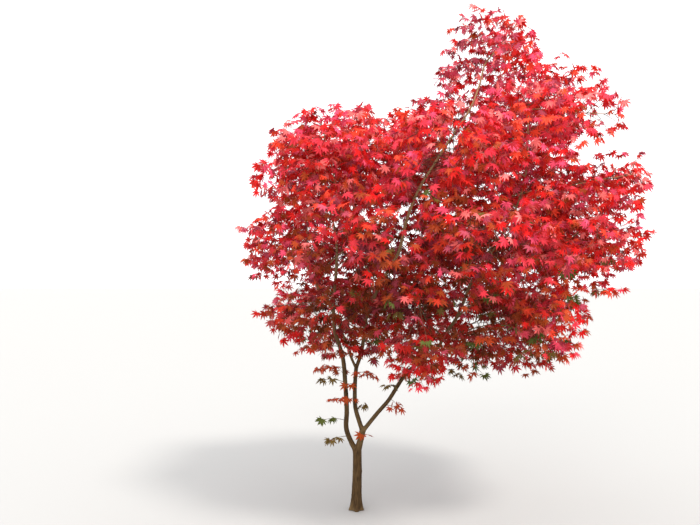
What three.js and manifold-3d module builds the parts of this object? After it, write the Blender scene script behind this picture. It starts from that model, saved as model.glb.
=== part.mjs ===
// A young hybrid japanese maple in red autumn leaf: a short trunk that forks low into three stems,
// the boughs that leave them, and the masses of foliage that the boughs carry.
// Millimetres. +X is to the right of the viewer, -Y towards the viewer, +Z up from the ground.
import * as THREE from "three";
import { mergeVertices } from "three/addons/utils/BufferGeometryUtils.js";
import Module from "manifold-3d";

const wasm = await Module();
wasm.setup();

// Clearances
const seatGap = 0.3; // between two pieces that meet
const limbClearance = 5; // between a limb and any twig or leaf
const spaceGap = 3; // between a mass's twigs and the edge of its own space
const boughClearance = 9; // between two limbs that pass each other
const sampleSpacing = 8; // between the points that stand for a limb in a distance test

// Trunk
const trunkFlare = 15; // added to the radius at the ground
const flareHeight = 55;
const flareRidges = 5;
const ridgeDepth = 0.16; // share of the radius, at the ground
const footHeight = 8; // vertices lower than this are on the ground cut

// Boughs that are not among the main limbs
const boughRadius = 4.2; // of the shortest, where it leaves its limb
const boughRadiusGrowth = 0.00525; // added for each millimetre of length
const boughTaper = 0.72;
const boughFacets = { sides: 5, steps: 3 };
const boughRise = 0.45; // how far a bough climbs for each part that it runs outwards
const boughTipInside = 0.62; // share of the mass's radius between its middle and the bough's tip
const boughLeaving = { out: 0.24, up: 0.2 }; // shares of its length that it runs as it leaves its limb
const boughArriving = 0.3; // share of its length over which it turns towards its mass
const boughSway = [0.03, 0.1]; // sideways bend, as a share of its length
const boughTurn = 0.035; // radians that its tip is moved round the mass at each try
const boughTries = 60;
const shortestBough = 120;
const thickestBough = 0.8; // share of its limb's radius that it has at most
const forkRoom = { widths: 2.5, margin: 25 }; // how near its root a bough may run beside its limb
const entryFlattening = 0.5; // how much a limb's height counts for the side on which its bough comes in
const entryStep = 0.04;
const boughPoints = 5;
const limbEnds = [0.1, 0.93]; // no bough leaves a limb nearer its ends than these shares of its length

// The stem of a mass, and the side twigs that leave it in opposite pairs
const stemRadii = [6.6, 5.2];
const stemSteps = 3;
const stemReach = 0.8; // share of the way to the far side of its space
const stemLead = 40; // length that carries on straight from the bough
const shortestStem = 0.6; // share of the radius of its space
const stemWander = { first: 0.1, added: 0.014 }; // how far it is turned at the first try, and at each after
const stemTries = 80;
const tipShare = 0.9; // the part of a limb beyond this share of its length is its tip
const twigRadii = [2.3, 1.9];
const twigPairs = 3;
const twigStations = [0.32, 0.86]; // shares of the stem between which the twigs leave it
const twigSplay = 0.98; // radians between a side twig and its stem
const splayRange = [0.85, 1.15];
const rollRange = [-0.35, 0.35]; // radians that a pair is turned off its quarter turn
const shortestTwig = 45;
const longTwig = 90; // a twig at least this long has a pair of leaves beside the one at its end
const pairStation = 0.55;
const pairTurn = [0.85, 1.2]; // radians between a leaf of a pair and its twig
const endInset = 3; // how far before the end of a twig its last leaf grows

// Leaves, each larger than life because it stands for a spray
const leafLength = 178;
const leafWidth = 162;
const leafThickness = 3.6;
const leafWidest = 0.45; // share of its length from the root to its widest place
const leafRidge = 0.22; // share of its length from the root to its thickest place
const leafSink = 1.2; // how far a leaf's root goes past the middle of its twig
const leafDroop = [0.3, 1.28]; // how far a leaf points down for each part that it points outwards
const leafTilt = 0.6; // how far it faces sideways, for each part that it faces up
const leafRoom = 0.82; // share of its length that is kept free beyond the end of a twig
const stemLeafSize = 0.9;
const pairLeafSize = 0.92;
const leafTries = 3; // turns tried for a leaf before it is skipped
const leafTurn = 0.5; // radians
const rootSpacing = 16; // between the roots of leaves or twigs that leave nearly together

// Heights are stretched by this when spaces share out the room, so that layers lie flat.
const layerStretch = 1.65;
const reachStep = 12;
const nearby = 1.3; // limbs within this share of a space's radius are tested against what grows in it
const simplifyLimit = 0.1; // faces that lie flatter than this on their neighbour are merged

const randomSeed = 2024;

const bark = { color: 0x5b4a3c, roughness: 0.88, metalness: 0 };
const leafColours = [0x7d1420, 0xd02233]; // low in the crown, and at its top
const colourHeights = [900, 3200];
const upVector = new THREE.Vector3(0, 0, 1);

// Main limbs: each runs through a few points, from its first radius to its last.
const mainLimbs = [
  {
    name: "trunk",
    points: [[0, 0, 0], [2, 0, 120], [6, 0, 280], [6, 1, 412]],
    radii: [34, 29.5],
    sides: 10,
    steps: 5,
  },
  {
    name: "left_stem_lower",
    points: [
      [-4, 8, 398], [-69, 13, 548], [-66, 20, 668], [-76, 30, 850], [-95, 42, 1045],
      [-151, 55, 1218],
    ],
    radii: [17.5, 14],
  },
  {
    name: "left_stem_upper",
    points: [
      [-151, 55, 1218], [-160, 70, 1400], [-143, 95, 1620], [-138, 120, 1810], [-165, 160, 2000],
      [-200, 195, 2105],
    ],
    radii: [13.5, 6],
  },
  {
    name: "centre_stem",
    points: [[9, -3, 400], [26, -5, 470], [46, -7, 552]],
    radii: [24, 20.5],
    steps: 3,
  },
  {
    name: "middle_stem",
    points: [[40, -3, 545], [16, 2, 618], [-6, 6, 695], [-11, 8, 800], [-8, 6, 890], [-1, 4, 985]],
    radii: [15.5, 13.5],
  },
  {
    name: "leader_lower",
    points: [
      [0, 5, 980], [24, 8, 1045], [52, 11, 1185], [68, 15, 1320], [130, 25, 1478], [190, 33, 1592],
      [300, 40, 1780],
    ],
    radii: [13, 11.2],
  },
  {
    name: "middle_left_bough",
    points: [
      [-3, -2, 974], [-34, -32, 1046], [-62, -62, 1130], [-98, -92, 1228], [-195, -112, 1430],
      [-300, -90, 1590],
    ],
    radii: [9.5, 5.5],
  },
  {
    name: "leader_upper",
    points: [
      [300, 40, 1780], [352, 44, 2003], [432, 40, 2205], [538, 30, 2382], [668, 15, 2582],
      [790, 2, 2772], [850, 0, 2930], [872, 0, 3020],
    ],
    radii: [10.9, 5.4],
    steps: 8,
  },
  {
    name: "leader_left_branch",
    points: [[172, 31, 1558], [82, -18, 1785], [22, -30, 1940], [-22, -34, 2135], [-12, -32, 2240]],
    radii: [5.8, 4],
  },
  {
    name: "leader_front_branch",
    points: [
      [166, 30, 1550], [78, -62, 1645], [2, -140, 1796], [-48, -200, 1928], [-105, -245, 2080],
    ],
    radii: [6.4, 4.2],
  },
  {
    name: "right_stem_lower",
    points: [
      [50, -9, 548], [145, -18, 668], [221, -22, 756], [284, -26, 857], [345, -30, 945],
      [450, -36, 1032], [561, -42, 1121],
    ],
    radii: [14.5, 12],
  },
  {
    name: "right_stem_upper",
    points: [
      [561, -42, 1121], [608, -43, 1212], [680, -45, 1317], [726, -46, 1420], [781, -46, 1556],
    ],
    radii: [11.8, 9.5],
  },
  {
    name: "right_inner_bough",
    points: [
      [779, -46, 1550], [826, -54, 1657], [901, -66, 1777], [985, -86, 1890], [1080, -112, 2080],
      [1133, -146, 2300], [1128, -225, 2655],
    ],
    radii: [7.8, 4.2],
    steps: 7,
  },
  {
    name: "right_outer_bough",
    points: [
      [783, -44, 1548], [872, 2, 1663], [940, 45, 1772], [1088, 125, 1925], [1225, 215, 2075],
    ],
    radii: [7.2, 4.6],
  },
  {
    name: "right_side_branch",
    points: [
      [676, -46, 1310], [752, -82, 1392], [826, -122, 1438], [900, -160, 1488], [1125, -245, 1600],
    ],
    radii: [5.6, 4.2],
  },
];

// Tiers of the crown: masses stand in a ring round a tier's middle, an ellipse that is wider to the
// right than to the left as the crown is. A limb named under carries does so for the mass of that number.
const tiers = [
  {
    name: "low",
    height: 1360,
    rise: -60, // how much higher the right side lies than the middle
    middle: [430, 0],
    ring: [674, 560],
    count: 6,
    firstAngle: 210,
    radius: 530,
    thickness: 370,
  },
  {
    name: "middle",
    height: 1790,
    rise: 10,
    middle: [540, 0],
    ring: [870, 720],
    count: 7,
    firstAngle: 180,
    radius: 550,
    thickness: 450,
    carries: { 1: "middle_left_bough", 4: "right_side_branch" },
  },
  {
    name: "upper",
    height: 2235,
    rise: -40,
    middle: [590, 0],
    ring: [850, 640],
    count: 6,
    firstAngle: 210,
    radius: 560,
    thickness: 450,
    carries: { 1: "leader_front_branch", 4: "right_outer_bough", 6: "left_stem_upper" },
  },
  {
    name: "high",
    height: 2600,
    rise: 60,
    middle: [1012, 0],
    ring: [450, 340],
    count: 3,
    firstAngle: 180,
    radius: 510,
    thickness: 430,
    carries: { 2: "right_inner_bough" },
  },
  {
    name: "top",
    height: 3060,
    rise: 0,
    middle: [900, 0],
    ring: [0, 0],
    count: 1,
    firstAngle: 0,
    radius: 410,
    thickness: 430,
    carries: { 1: "leader_upper" },
  },
  {
    name: "inner",
    height: 2420,
    rise: 0,
    middle: [110, 0],
    ring: [0, 0],
    count: 1,
    firstAngle: 0,
    radius: 470,
    thickness: 380,
    carries: { 1: "leader_left_branch" },
  },
  {
    name: "hanging",
    height: 1010,
    rise: 0,
    middle: [390, -330],
    ring: [0, 0],
    count: 1,
    firstAngle: 0,
    radius: 215,
    thickness: 180,
    leafScale: 0.72,
  },
];

// A repeatable stream of numbers from 0 to 1
function makeRandom(seed) {
  let state = seed >>> 0;
  return () => {
    state = (state + 0x6d2b79f5) >>> 0;
    let mixed = Math.imul(state ^ (state >>> 15), 1 | state);
    mixed = (mixed + Math.imul(mixed ^ (mixed >>> 7), 61 | mixed)) ^ mixed;
    return ((mixed ^ (mixed >>> 14)) >>> 0) / 4294967296;
  };
}

function between(random, low, high) {
  return low + (high - low) * random();
}

// Solids
function toSolid(geometry) {
  geometry.deleteAttribute("normal");
  geometry.deleteAttribute("uv");
  const merged = mergeVertices(geometry, 1e-4);
  const mesh = new wasm.Mesh({
    numProp: 3,
    vertProperties: Float32Array.from(merged.attributes.position.array),
    triVerts: Uint32Array.from(merged.index.array),
  });
  return new wasm.Manifold(mesh);
}

// The outer shell of the largest body: a sealed hollow is filled and a loose scrap dropped.
function largestBody(solid) {
  const bodies = solid.decompose();
  return bodies.reduce((best, body) => (body.volume() > best.volume() ? body : best));
}

function toMesh(name, solid, look) {
  const { vertProperties, triVerts } = solid.getMesh();
  const geometry = new THREE.BufferGeometry();
  geometry.setAttribute("position", new THREE.BufferAttribute(Float32Array.from(vertProperties), 3));
  geometry.setIndex(new THREE.BufferAttribute(Uint32Array.from(triVerts), 1));
  geometry.computeVertexNormals();
  const mesh = new THREE.Mesh(geometry, new THREE.MeshStandardMaterial({ ...look, flatShading: true }));
  mesh.name = name;
  return mesh;
}

// A closed cylinder bent along a curve, with its radius from the taper. radiusAt gets the share of
// the length and the angle round the axis. grow thickens it and lengthens both ends.
function bentTube(curve, radiusAt, sides, steps, grow = 0) {
  const tube = new THREE.CylinderGeometry(1, 1, 1, sides, steps);
  const frames = curve.computeFrenetFrames(steps, false);
  const centres = curve.getSpacedPoints(steps);
  centres[0].addScaledVector(frames.tangents[0], -grow);
  centres[steps].addScaledVector(frames.tangents[steps], grow);
  const position = tube.attributes.position;
  const vertex = new THREE.Vector3();
  for (let i = 0; i < position.count; i++) {
    vertex.fromBufferAttribute(position, i);
    const ring = Math.round((vertex.y + 0.5) * steps);
    const radius = radiusAt(ring / steps, Math.atan2(vertex.x, vertex.z)) + grow;
    const place = centres[ring].clone();
    place.addScaledVector(frames.binormals[ring], vertex.x * radius);
    place.addScaledVector(frames.normals[ring], vertex.z * radius);
    position.setXYZ(i, place.x, place.y, place.z);
  }
  return tube;
}

// Limbs
function makeLimb({ name, points, radii, sides = 6, steps = 5 }) {
  const curve = new THREE.CatmullRomCurve3(points.map((point) => new THREE.Vector3(...point)));
  return { name, curve, radii, sides, steps, length: curve.getLength() };
}

// How much of the root flare is left at a share of the limb's length: none, but on the trunk
function flareAt(limb, share) {
  return limb.name === "trunk" ? Math.exp((-share * limb.length) / flareHeight) : 0;
}

function limbRadius(limb, share) {
  return THREE.MathUtils.lerp(...limb.radii, share) + trunkFlare * flareAt(limb, share);
}

function limbSolid(limb, grow = 0) {
  const radiusAt = (share, angle) => {
    const ridge = ridgeDepth * flareAt(limb, share) * Math.cos(flareRidges * angle);
    return limbRadius(limb, share) * (1 + ridge);
  };
  const tube = bentTube(limb.curve, radiusAt, limb.sides, limb.steps, grow);
  if (limb.name === "trunk" && grow === 0) {
    flattenFoot(tube.attributes.position);
  }
  return toSolid(tube);
}

// The trunk's cut at the ground is level.
function flattenFoot(position) {
  for (let i = 0; i < position.count; i++) {
    if (position.getZ(i) < footHeight) {
      position.setZ(i, 0);
    }
  }
}

// The middle of a bent tube, which runs straight from ring to ring
function middleOf(curve, steps, share) {
  const ring = Math.min(Math.floor(share * steps), steps - 1);
  const start = curve.getPointAt(ring / steps);
  return start.lerp(curve.getPointAt((ring + 1) / steps), share * steps - ring);
}

// Points down the middle of a limb, close enough together to stand for it in a distance test
function limbSamples(limb) {
  const count = Math.ceil(limb.length / sampleSpacing);
  return Array.from({ length: count + 1 }, (_, i) => ({
    point: middleOf(limb.curve, limb.steps, i / count),
    radius: limbRadius(limb, i / count),
    limb: limb.name,
    share: i / count,
  }));
}

// Foliage spaces: a flattened ball, cut by the planes half way to each neighbour, so that no two
// spaces overlap. Heights are stretched first, which makes the balls round.
function stretched(point) {
  return new THREE.Vector3(point.x, point.y, point.z * layerStretch);
}

function makeSpaces() {
  const spaces = [];
  for (const tier of tiers) {
    for (let i = 0; i < tier.count; i++) {
      const angle = THREE.MathUtils.degToRad(tier.firstAngle + (i * 360) / tier.count);
      const centre = new THREE.Vector3(
        tier.middle[0] + tier.ring[0] * Math.cos(angle),
        tier.middle[1] + tier.ring[1] * Math.sin(angle),
        tier.height + tier.rise * Math.cos(angle),
      );
      const label = tier.count > 1 ? `${tier.name}_${i + 1}` : tier.name;
      const carrier = tier.carries?.[i + 1];
      const { radius, thickness, leafScale = 1 } = tier;
      spaces.push({ label, centre, radius, thickness, leafScale, carrier, planes: [] });
    }
  }
  for (const space of spaces) {
    for (const other of spaces) {
      if (other !== space) {
        space.planes.push(planeBetween(space, other));
      }
    }
  }
  return spaces;
}

function planeBetween(space, other) {
  const from = stretched(space.centre);
  const to = stretched(other.centre);
  const share = space.radius / (space.radius + other.radius);
  const normal = to.clone().sub(from).normalize();
  const middle = from.lerp(to, share).addScaledVector(normal, -spaceGap);
  return { normal, offset: normal.dot(middle) };
}

function insideSpace(space, point) {
  const { centre, radius, thickness } = space;
  const across = Math.hypot(point.x - centre.x, point.y - centre.y) / radius;
  const high = (point.z - centre.z) / thickness;
  const flat = stretched(point);
  const insideBall = across * across + high * high < 1;
  return insideBall && space.planes.every((plane) => plane.normal.dot(flat) < plane.offset);
}

// How far a point can travel along a direction before it leaves the space
function reachInside(space, point, direction) {
  let distance = 0;
  while (insideSpace(space, point.clone().addScaledVector(direction, distance + reachStep))) {
    distance += reachStep;
  }
  return distance;
}

// Boughs for the masses that no main limb carries
function isClear(points, radius, samples) {
  return samples.every((sample) =>
    points.every((point) => point.distanceTo(sample.point) > radius + sample.radius + boughClearance),
  );
}

// Where a bough leaves the limbs: near its mass, and far enough below it to rise on its way out
function chooseOrigin(entry, samples) {
  const shortfallWeight = 1.6;
  let best = null;
  for (const sample of samples) {
    const bare = sample.limb === "trunk" || sample.limb === "centre_stem";
    const across = Math.hypot(entry.x - sample.point.x, entry.y - sample.point.y);
    const shortfall = Math.max(0, across * boughRise - (entry.z - sample.point.z));
    const cost = sample.point.distanceTo(entry) + shortfallWeight * shortfall;
    const midway = sample.share >= limbEnds[0] && sample.share <= limbEnds[1];
    if (!bare && midway && (!best || cost < best.cost)) {
      best = { cost, sample };
    }
  }
  return best.sample;
}

// The point inside the space where a bough ends: towards the limbs, turned a little about the middle
function chooseEntry(space, towards, turn) {
  const inward = towards.clone().sub(space.centre);
  inward.z *= entryFlattening;
  inward.normalize().applyAxisAngle(upVector, turn);
  let inside = boughTipInside;
  const entry = space.centre.clone();
  do {
    entry.copy(space.centre).addScaledVector(inward, space.radius * inside);
    inside -= entryStep;
  } while (!insideSpace(space, entry));
  return entry;
}

function boughCurve(origin, entry, centre, sway) {
  const span = entry.clone().sub(origin);
  const length = span.length();
  const side = span.clone().cross(upVector).normalize();
  const out = span.setZ(0).normalize();
  const first = origin.clone().addScaledVector(out, length * boughLeaving.out);
  first.addScaledVector(upVector, length * boughLeaving.up).addScaledVector(side, sway * length);
  const arrive = centre.clone().sub(entry).normalize();
  const last = entry.clone().addScaledVector(arrive, -length * boughArriving);
  last.addScaledVector(side, sway * length * 0.5);
  const bezier = new THREE.CubicBezierCurve3(origin, first, last, entry);
  return new THREE.CatmullRomCurve3(bezier.getPoints(boughPoints));
}

function makeBough(space, samples, random) {
  const towards = chooseOrigin(space.centre, samples).point;
  for (let trial = 0; trial < boughTries; trial++) {
    const sign = trial % 2 ? 1 : -1;
    const entry = chooseEntry(space, towards, sign * trial * boughTurn);
    const start = chooseOrigin(entry, samples);
    const length = start.point.distanceTo(entry);
    const base = Math.min(boughRadius + length * boughRadiusGrowth, start.radius * thickestBough);
    const ownGround = start.radius + base * forkRoom.widths + forkRoom.margin;
    const others = samples.filter((sample) => sample.point.distanceTo(start.point) > ownGround);
    const curve = boughCurve(start.point, entry, space.centre, sign * between(random, ...boughSway));
    const radii = [base, base * boughTaper];
    const bough = { name: `bough_${space.label}`, curve, radii, ...boughFacets, length: curve.getLength() };
    const route = limbSamples(bough).map((sample) => sample.point);
    if (length > shortestBough && isClear(route, base, others)) {
      return bough;
    }
  }
  throw new Error(`no clear way for the bough of ${space.label}`);
}

// Twigs and leaves
function makeTwig(from, to) {
  const length = from.distanceTo(to);
  const along = to.clone().sub(from).normalize();
  const twig = new THREE.CylinderGeometry(twigRadii[1], twigRadii[0], length, 3, 1);
  twig.translate(0, length / 2, 0);
  twig.applyQuaternion(new THREE.Quaternion().setFromUnitVectors(new THREE.Vector3(0, 1, 0), along));
  twig.translate(from.x, from.y, from.z);
  return toSolid(twig);
}

// A leaf's frame: its root, the way it points, its sideways direction and the way it faces
function leafFrame(root, pointing, facing, size) {
  const along = pointing.clone().normalize();
  const side = along.clone().cross(facing).normalize();
  return { root, along, side, face: side.clone().cross(along), size };
}

function leafCorners({ root, along, side, size }) {
  const corner = (forward, sideways) => {
    const place = root.clone().addScaledVector(along, forward * leafLength * size);
    return place.addScaledVector(side, sideways * leafWidth * size);
  };
  return [corner(0, 0), corner(leafWidest, 0.5), corner(1, 0), corner(leafWidest, -0.5)];
}

// Eight faces: an octahedron flattened to a kite, thickest in the middle of the blade
function makeLeaf({ root, along, side, face, size }) {
  const blade = new THREE.OctahedronGeometry(1);
  const position = blade.attributes.position;
  for (let i = 0; i < position.count; i++) {
    const x = position.getX(i);
    const y = position.getY(i);
    const z = position.getZ(i);
    const ends = y > 0.5 ? leafLength * size : -leafSink;
    const widest = leafLength * size * (Math.abs(z) > 0.5 ? leafRidge : leafWidest);
    const forward = Math.abs(y) > 0.5 ? ends : widest;
    const place = root.clone().addScaledVector(along, forward);
    place.addScaledVector(side, x * 0.5 * leafWidth * size);
    place.addScaledVector(face, z * 0.5 * leafThickness);
    position.setXYZ(i, place.x, place.y, place.z);
  }
  return toSolid(blade);
}

function leafFits(space, frame, samples) {
  const corners = leafCorners(frame);
  if (!corners.slice(1).every((corner) => insideSpace(space, corner))) {
    return false;
  }
  const halves = [
    new THREE.Triangle(corners[0], corners[1], corners[2]),
    new THREE.Triangle(corners[0], corners[2], corners[3]),
  ];
  const nearest = new THREE.Vector3();
  return samples.every((sample) =>
    halves.every((half) => {
      half.closestPointToPoint(sample.point, nearest);
      return nearest.distanceTo(sample.point) > sample.radius + leafThickness + limbClearance;
    }),
  );
}

function lineIsClear(from, to, radius, samples) {
  const line = new THREE.Line3(from, to);
  const nearest = new THREE.Vector3();
  return samples.every((sample) => {
    line.closestPointToPoint(sample.point, true, nearest);
    return nearest.distanceTo(sample.point) > sample.radius + radius + limbClearance;
  });
}

// A leaf that hangs a little from where it grows, with its face to the sky
function hangingLeaf(root, pointing, random, size) {
  const along = pointing.clone().normalize();
  along.z -= between(random, ...leafDroop);
  const sideways = [1, 1].map(() => between(random, -leafTilt, leafTilt));
  const tilt = new THREE.Vector3(...sideways, 0);
  const facing = upVector.clone().add(tilt);
  return leafFrame(root, along, facing, size);
}

// The stem of a mass leaves the tip of its bough and runs on through the middle of the space, turned
// as little as keeps it clear of other limbs.
function stemLine(space, limb, samples, random) {
  const tangent = limb.curve.getTangentAt(1);
  const start = limb.curve.getPointAt(1).addScaledVector(tangent, seatGap);
  const bend = start.clone().addScaledVector(tangent, stemLead);
  const others = samples.filter((sample) => !(sample.limb === limb.name && sample.share > tipShare));
  for (let trial = 0; trial < stemTries; trial++) {
    const spread = stemWander.first + trial * stemWander.added;
    const wander = new THREE.Vector3(...[0, 1, 2].map(() => between(random, -spread, spread)));
    const aim = space.centre.clone().sub(start).normalize().add(wander).normalize();
    const reach = reachInside(space, bend, aim) * stemReach;
    const end = bend.clone().addScaledVector(aim, reach);
    if (reach > space.radius * shortestStem && lineIsClear(bend, end, stemRadii[0], others)) {
      return new THREE.CatmullRomCurve3([start, bend, bend.clone().lerp(end, 0.5), end]);
    }
  }
  throw new Error(`no clear way for the stem of ${space.label}`);
}

// The side twigs of a stem: opposite pairs, each a quarter turn round from the last
function growTwigs(space, stem, samples, random) {
  const taper = (share) => THREE.MathUtils.lerp(...stemRadii, share);
  const twigs = [{ solid: toSolid(bentTube(stem, taper, 3, stemSteps)), leaves: [] }];
  for (let pair = 0; pair < twigPairs; pair++) {
    const share = THREE.MathUtils.lerp(...twigStations, pair / (twigPairs - 1));
    const tangent = stem.getTangentAt(share);
    const level = tangent.clone().cross(upVector).normalize();
    const roll = (pair % 2 ? Math.PI / 2 : 0) + between(random, ...rollRange);
    const across = level.applyAxisAngle(tangent, roll);
    for (const sign of [1, -1]) {
      const origin = middleOf(stem, stemSteps, share).addScaledVector(tangent, (sign * rootSpacing) / 2);
      const splay = twigSplay * between(random, ...splayRange);
      const direction = tangent.clone().multiplyScalar(Math.cos(splay));
      direction.addScaledVector(across, sign * Math.sin(splay));
      const room = leafLength * space.leafScale * leafRoom;
      const length = reachInside(space, origin, direction) - room;
      const end = origin.clone().addScaledVector(direction, length);
      const isLong = length > shortestTwig && insideSpace(space, end);
      if (isLong && lineIsClear(origin, end, twigRadii[0], samples)) {
        twigs.push(makeTwigWithLeaves(origin, end, direction, random));
      } else {
        twigs[0].leaves.push({ root: origin, pointing: direction, size: stemLeafSize });
      }
    }
  }
  return twigs;
}

// Three leaves spread at the end of the stem
function addEndLeaves(twig, stem) {
  const onward = stem.getTangentAt(1);
  [0, 1, -1].forEach((turn, i) => {
    const root = stem.getPointAt(1).addScaledVector(onward, -endInset - i * rootSpacing);
    twig.leaves.push({ root, pointing: onward.clone().applyAxisAngle(upVector, turn), size: 1 });
  });
}

// A side twig, with a leaf at its end and, if it is long, an opposite pair half way
function makeTwigWithLeaves(from, to, direction, random) {
  const last = to.clone().addScaledVector(direction, -endInset);
  const leaves = [{ root: last, pointing: direction, size: 1 }];
  if (from.distanceTo(to) > longTwig) {
    for (const sign of [1, -1]) {
      const root = from.clone().lerp(to, pairStation).addScaledVector(direction, (sign * rootSpacing) / 2);
      const turned = direction.clone().applyAxisAngle(upVector, sign * between(random, ...pairTurn));
      leaves.push({ root, pointing: turned, size: pairLeafSize });
    }
  }
  return { solid: makeTwig(from, to), leaves };
}

// One mass: its stem, twigs and leaves fused into one body
function growMass(space, limb, samples, random) {
  const near = samples.filter((sample) => sample.point.distanceTo(space.centre) < space.radius * nearby);
  const stem = stemLine(space, limb, near, random);
  const twigs = growTwigs(space, stem, near, random);
  addEndLeaves(twigs[0], stem);
  const leaves = [];
  for (const twig of twigs) {
    const others = twigs.filter((one) => one !== twig).map((one) => one.solid);
    for (const bud of twig.leaves) {
      const leaf = openLeaf(space, bud, near, [...leaves, ...others], random);
      if (leaf) {
        leaves.push(leaf);
      }
    }
  }
  const pieces = [...twigs.map((twig) => twig.solid), ...leaves];
  const whole = pieces.reduce((joined, piece) => joined.add(piece));
  return largestBody(whole.simplify(simplifyLimit));
}

// A leaf keeps inside the space and clear of limbs, leaves and other twigs, turned a little if need be.
function openLeaf(space, bud, samples, others, random) {
  for (let trial = 0; trial < leafTries; trial++) {
    const turn = trial * between(random, -leafTurn, leafTurn);
    const pointing = bud.pointing.clone().applyAxisAngle(upVector, turn);
    const frame = hangingLeaf(bud.root, pointing, random, bud.size * space.leafScale);
    if (leafFits(space, frame, samples)) {
      const leaf = makeLeaf(frame);
      if (others.every((other) => leaf.intersect(other).isEmpty())) {
        return leaf;
      }
    }
  }
  return null;
}

// The colour of a mass: dark low in the crown, brighter the higher it is
function massLook(space) {
  const height = THREE.MathUtils.smoothstep(space.centre.z, ...colourHeights);
  const color = new THREE.Color(leafColours[0]).lerp(new THREE.Color(leafColours[1]), height);
  return { color, roughness: 0.62, metalness: 0 };
}

const tree = new THREE.Group();
const random = makeRandom(randomSeed);
const limbs = mainLimbs.map(makeLimb);
const samples = limbs.flatMap(limbSamples);
const spaces = makeSpaces();

for (const space of spaces) {
  if (!space.carrier) {
    const bough = makeBough(space, samples, random);
    limbs.push(bough);
    samples.push(...limbSamples(bough));
    space.carrier = bough.name;
  }
}

// Each limb is cut clear of the ones before it, where it leaves them.
const cutters = [];
for (const limb of limbs) {
  const solid = cutters.reduce((left, cutter) => left.subtract(cutter), limbSolid(limb));
  tree.add(toMesh(limb.name, largestBody(solid), bark));
  cutters.push(limbSolid(limb, seatGap));
}

for (const space of spaces) {
  const limb = limbs.find((one) => one.name === space.carrier);
  tree.add(toMesh(`foliage_${space.label}`, growMass(space, limb, samples, random), massLook(space)));
}

export default tree;
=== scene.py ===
import math
import bpy
import numpy as np
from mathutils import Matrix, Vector


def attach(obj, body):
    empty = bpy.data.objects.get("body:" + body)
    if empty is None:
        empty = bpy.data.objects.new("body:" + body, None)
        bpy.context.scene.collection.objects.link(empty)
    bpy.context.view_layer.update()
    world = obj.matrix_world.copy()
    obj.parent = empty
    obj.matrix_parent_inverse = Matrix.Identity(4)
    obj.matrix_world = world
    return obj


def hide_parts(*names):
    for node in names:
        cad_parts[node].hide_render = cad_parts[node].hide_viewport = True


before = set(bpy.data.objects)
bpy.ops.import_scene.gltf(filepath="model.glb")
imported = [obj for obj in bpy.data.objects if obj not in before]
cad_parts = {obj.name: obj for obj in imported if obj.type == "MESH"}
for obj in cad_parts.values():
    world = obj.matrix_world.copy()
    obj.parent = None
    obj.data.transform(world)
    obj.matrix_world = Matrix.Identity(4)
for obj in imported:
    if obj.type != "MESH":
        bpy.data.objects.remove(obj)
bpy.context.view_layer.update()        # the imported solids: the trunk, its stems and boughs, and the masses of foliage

# Lengths are worked out in millimetres, as the solids are, and turned to metres when a mesh is made.
mm = 0.001
upward = np.array([0.0, 0.0, 1.0])

# the view and the studio
view = {
    "eye": (-0.044, -4.8, 1.6),  # where the photograph was taken from, in metres from the foot of the trunk
    "lens": 35.8,                # a little wider than the photograph, so that the foot and the top show
    "shift": 0.021,              # keeps the verticals upright
    "clipEnd": 400,
}

studio = {
    "floorColour": (0.42, 0.415, 0.405),
    "floorSize": 200.0,
    "floorDrop": 0.002,   # keeps the floor clear of the trunk's cut
    "floorSheen": (0.9, 0.2),  # roughness and specular
    "skyColour": (0.97, 0.98, 1.0),
    "skyStrength": 1.6,
    "lampDistance": 8,
    # the way towards it, strength, width of its disc in degrees, colour
    "sun": ((0.42, -0.45, 0.85), 2.3, 14, (1.0, 0.965, 0.91)),
    "fill": ((-0.25, -0.95, 0.3), 1.8, 50, (1.0, 0.98, 0.96)),
}


def plainMaterial(name, colour, roughness, specular=0.5):
    material = bpy.data.materials.new(name)
    material.use_nodes = True
    material.diffuse_color = (*colour, 1)
    shader = material.node_tree.nodes["Principled BSDF"]
    shader.inputs["Base Color"].default_value = (*colour, 1)
    shader.inputs["Roughness"].default_value = roughness
    shader.inputs["Specular IOR Level"].default_value = specular
    return material


def addSun(name, distance, way, strength, width, colour):
    lamp = bpy.data.lights.new(name, "SUN")
    lamp.energy = strength
    lamp.angle = math.radians(width)
    lamp.color = colour
    thing = bpy.data.objects.new(name, lamp)
    thing.location = Vector(way) * distance
    thing.rotation_euler = Vector(way).to_track_quat("Z", "Y").to_euler()
    bpy.context.scene.collection.objects.link(thing)


def makeStudio(view, studio):
    scene = bpy.context.scene
    scene.view_settings.view_transform = "Standard"
    camera = bpy.data.objects.new("camera", bpy.data.cameras.new("camera"))
    camera.location = view["eye"]
    camera.rotation_euler = (math.radians(90), 0, 0)
    camera.data.lens = view["lens"]
    camera.data.shift_y = view["shift"]
    camera.data.clip_end = view["clipEnd"]
    scene.collection.objects.link(camera)
    scene.camera = camera

    world = bpy.data.worlds.new("studioLight")
    world.use_nodes = True
    background = world.node_tree.nodes["Background"]
    background.inputs["Color"].default_value = (*studio["skyColour"], 1)
    background.inputs["Strength"].default_value = studio["skyStrength"]
    scene.world = world

    half = studio["floorSize"] / 2
    corners = [(-half, -half, 0), (half, -half, 0), (half, half, 0), (-half, half, 0)]
    mesh = bpy.data.meshes.new("floor")
    mesh.from_pydata(corners, [], [(0, 1, 2, 3)])
    floor = bpy.data.objects.new("floor", mesh)
    floor.location.z = -studio["floorDrop"]
    mesh.materials.append(plainMaterial("floorPale", studio["floorColour"], *studio["floorSheen"]))
    scene.collection.objects.link(floor)
    for name in ("sun", "fill"):
        addSun(name + "Lamp", studio["lampDistance"], *studio[name])


makeStudio(view, studio)
print("studio ready")

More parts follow.
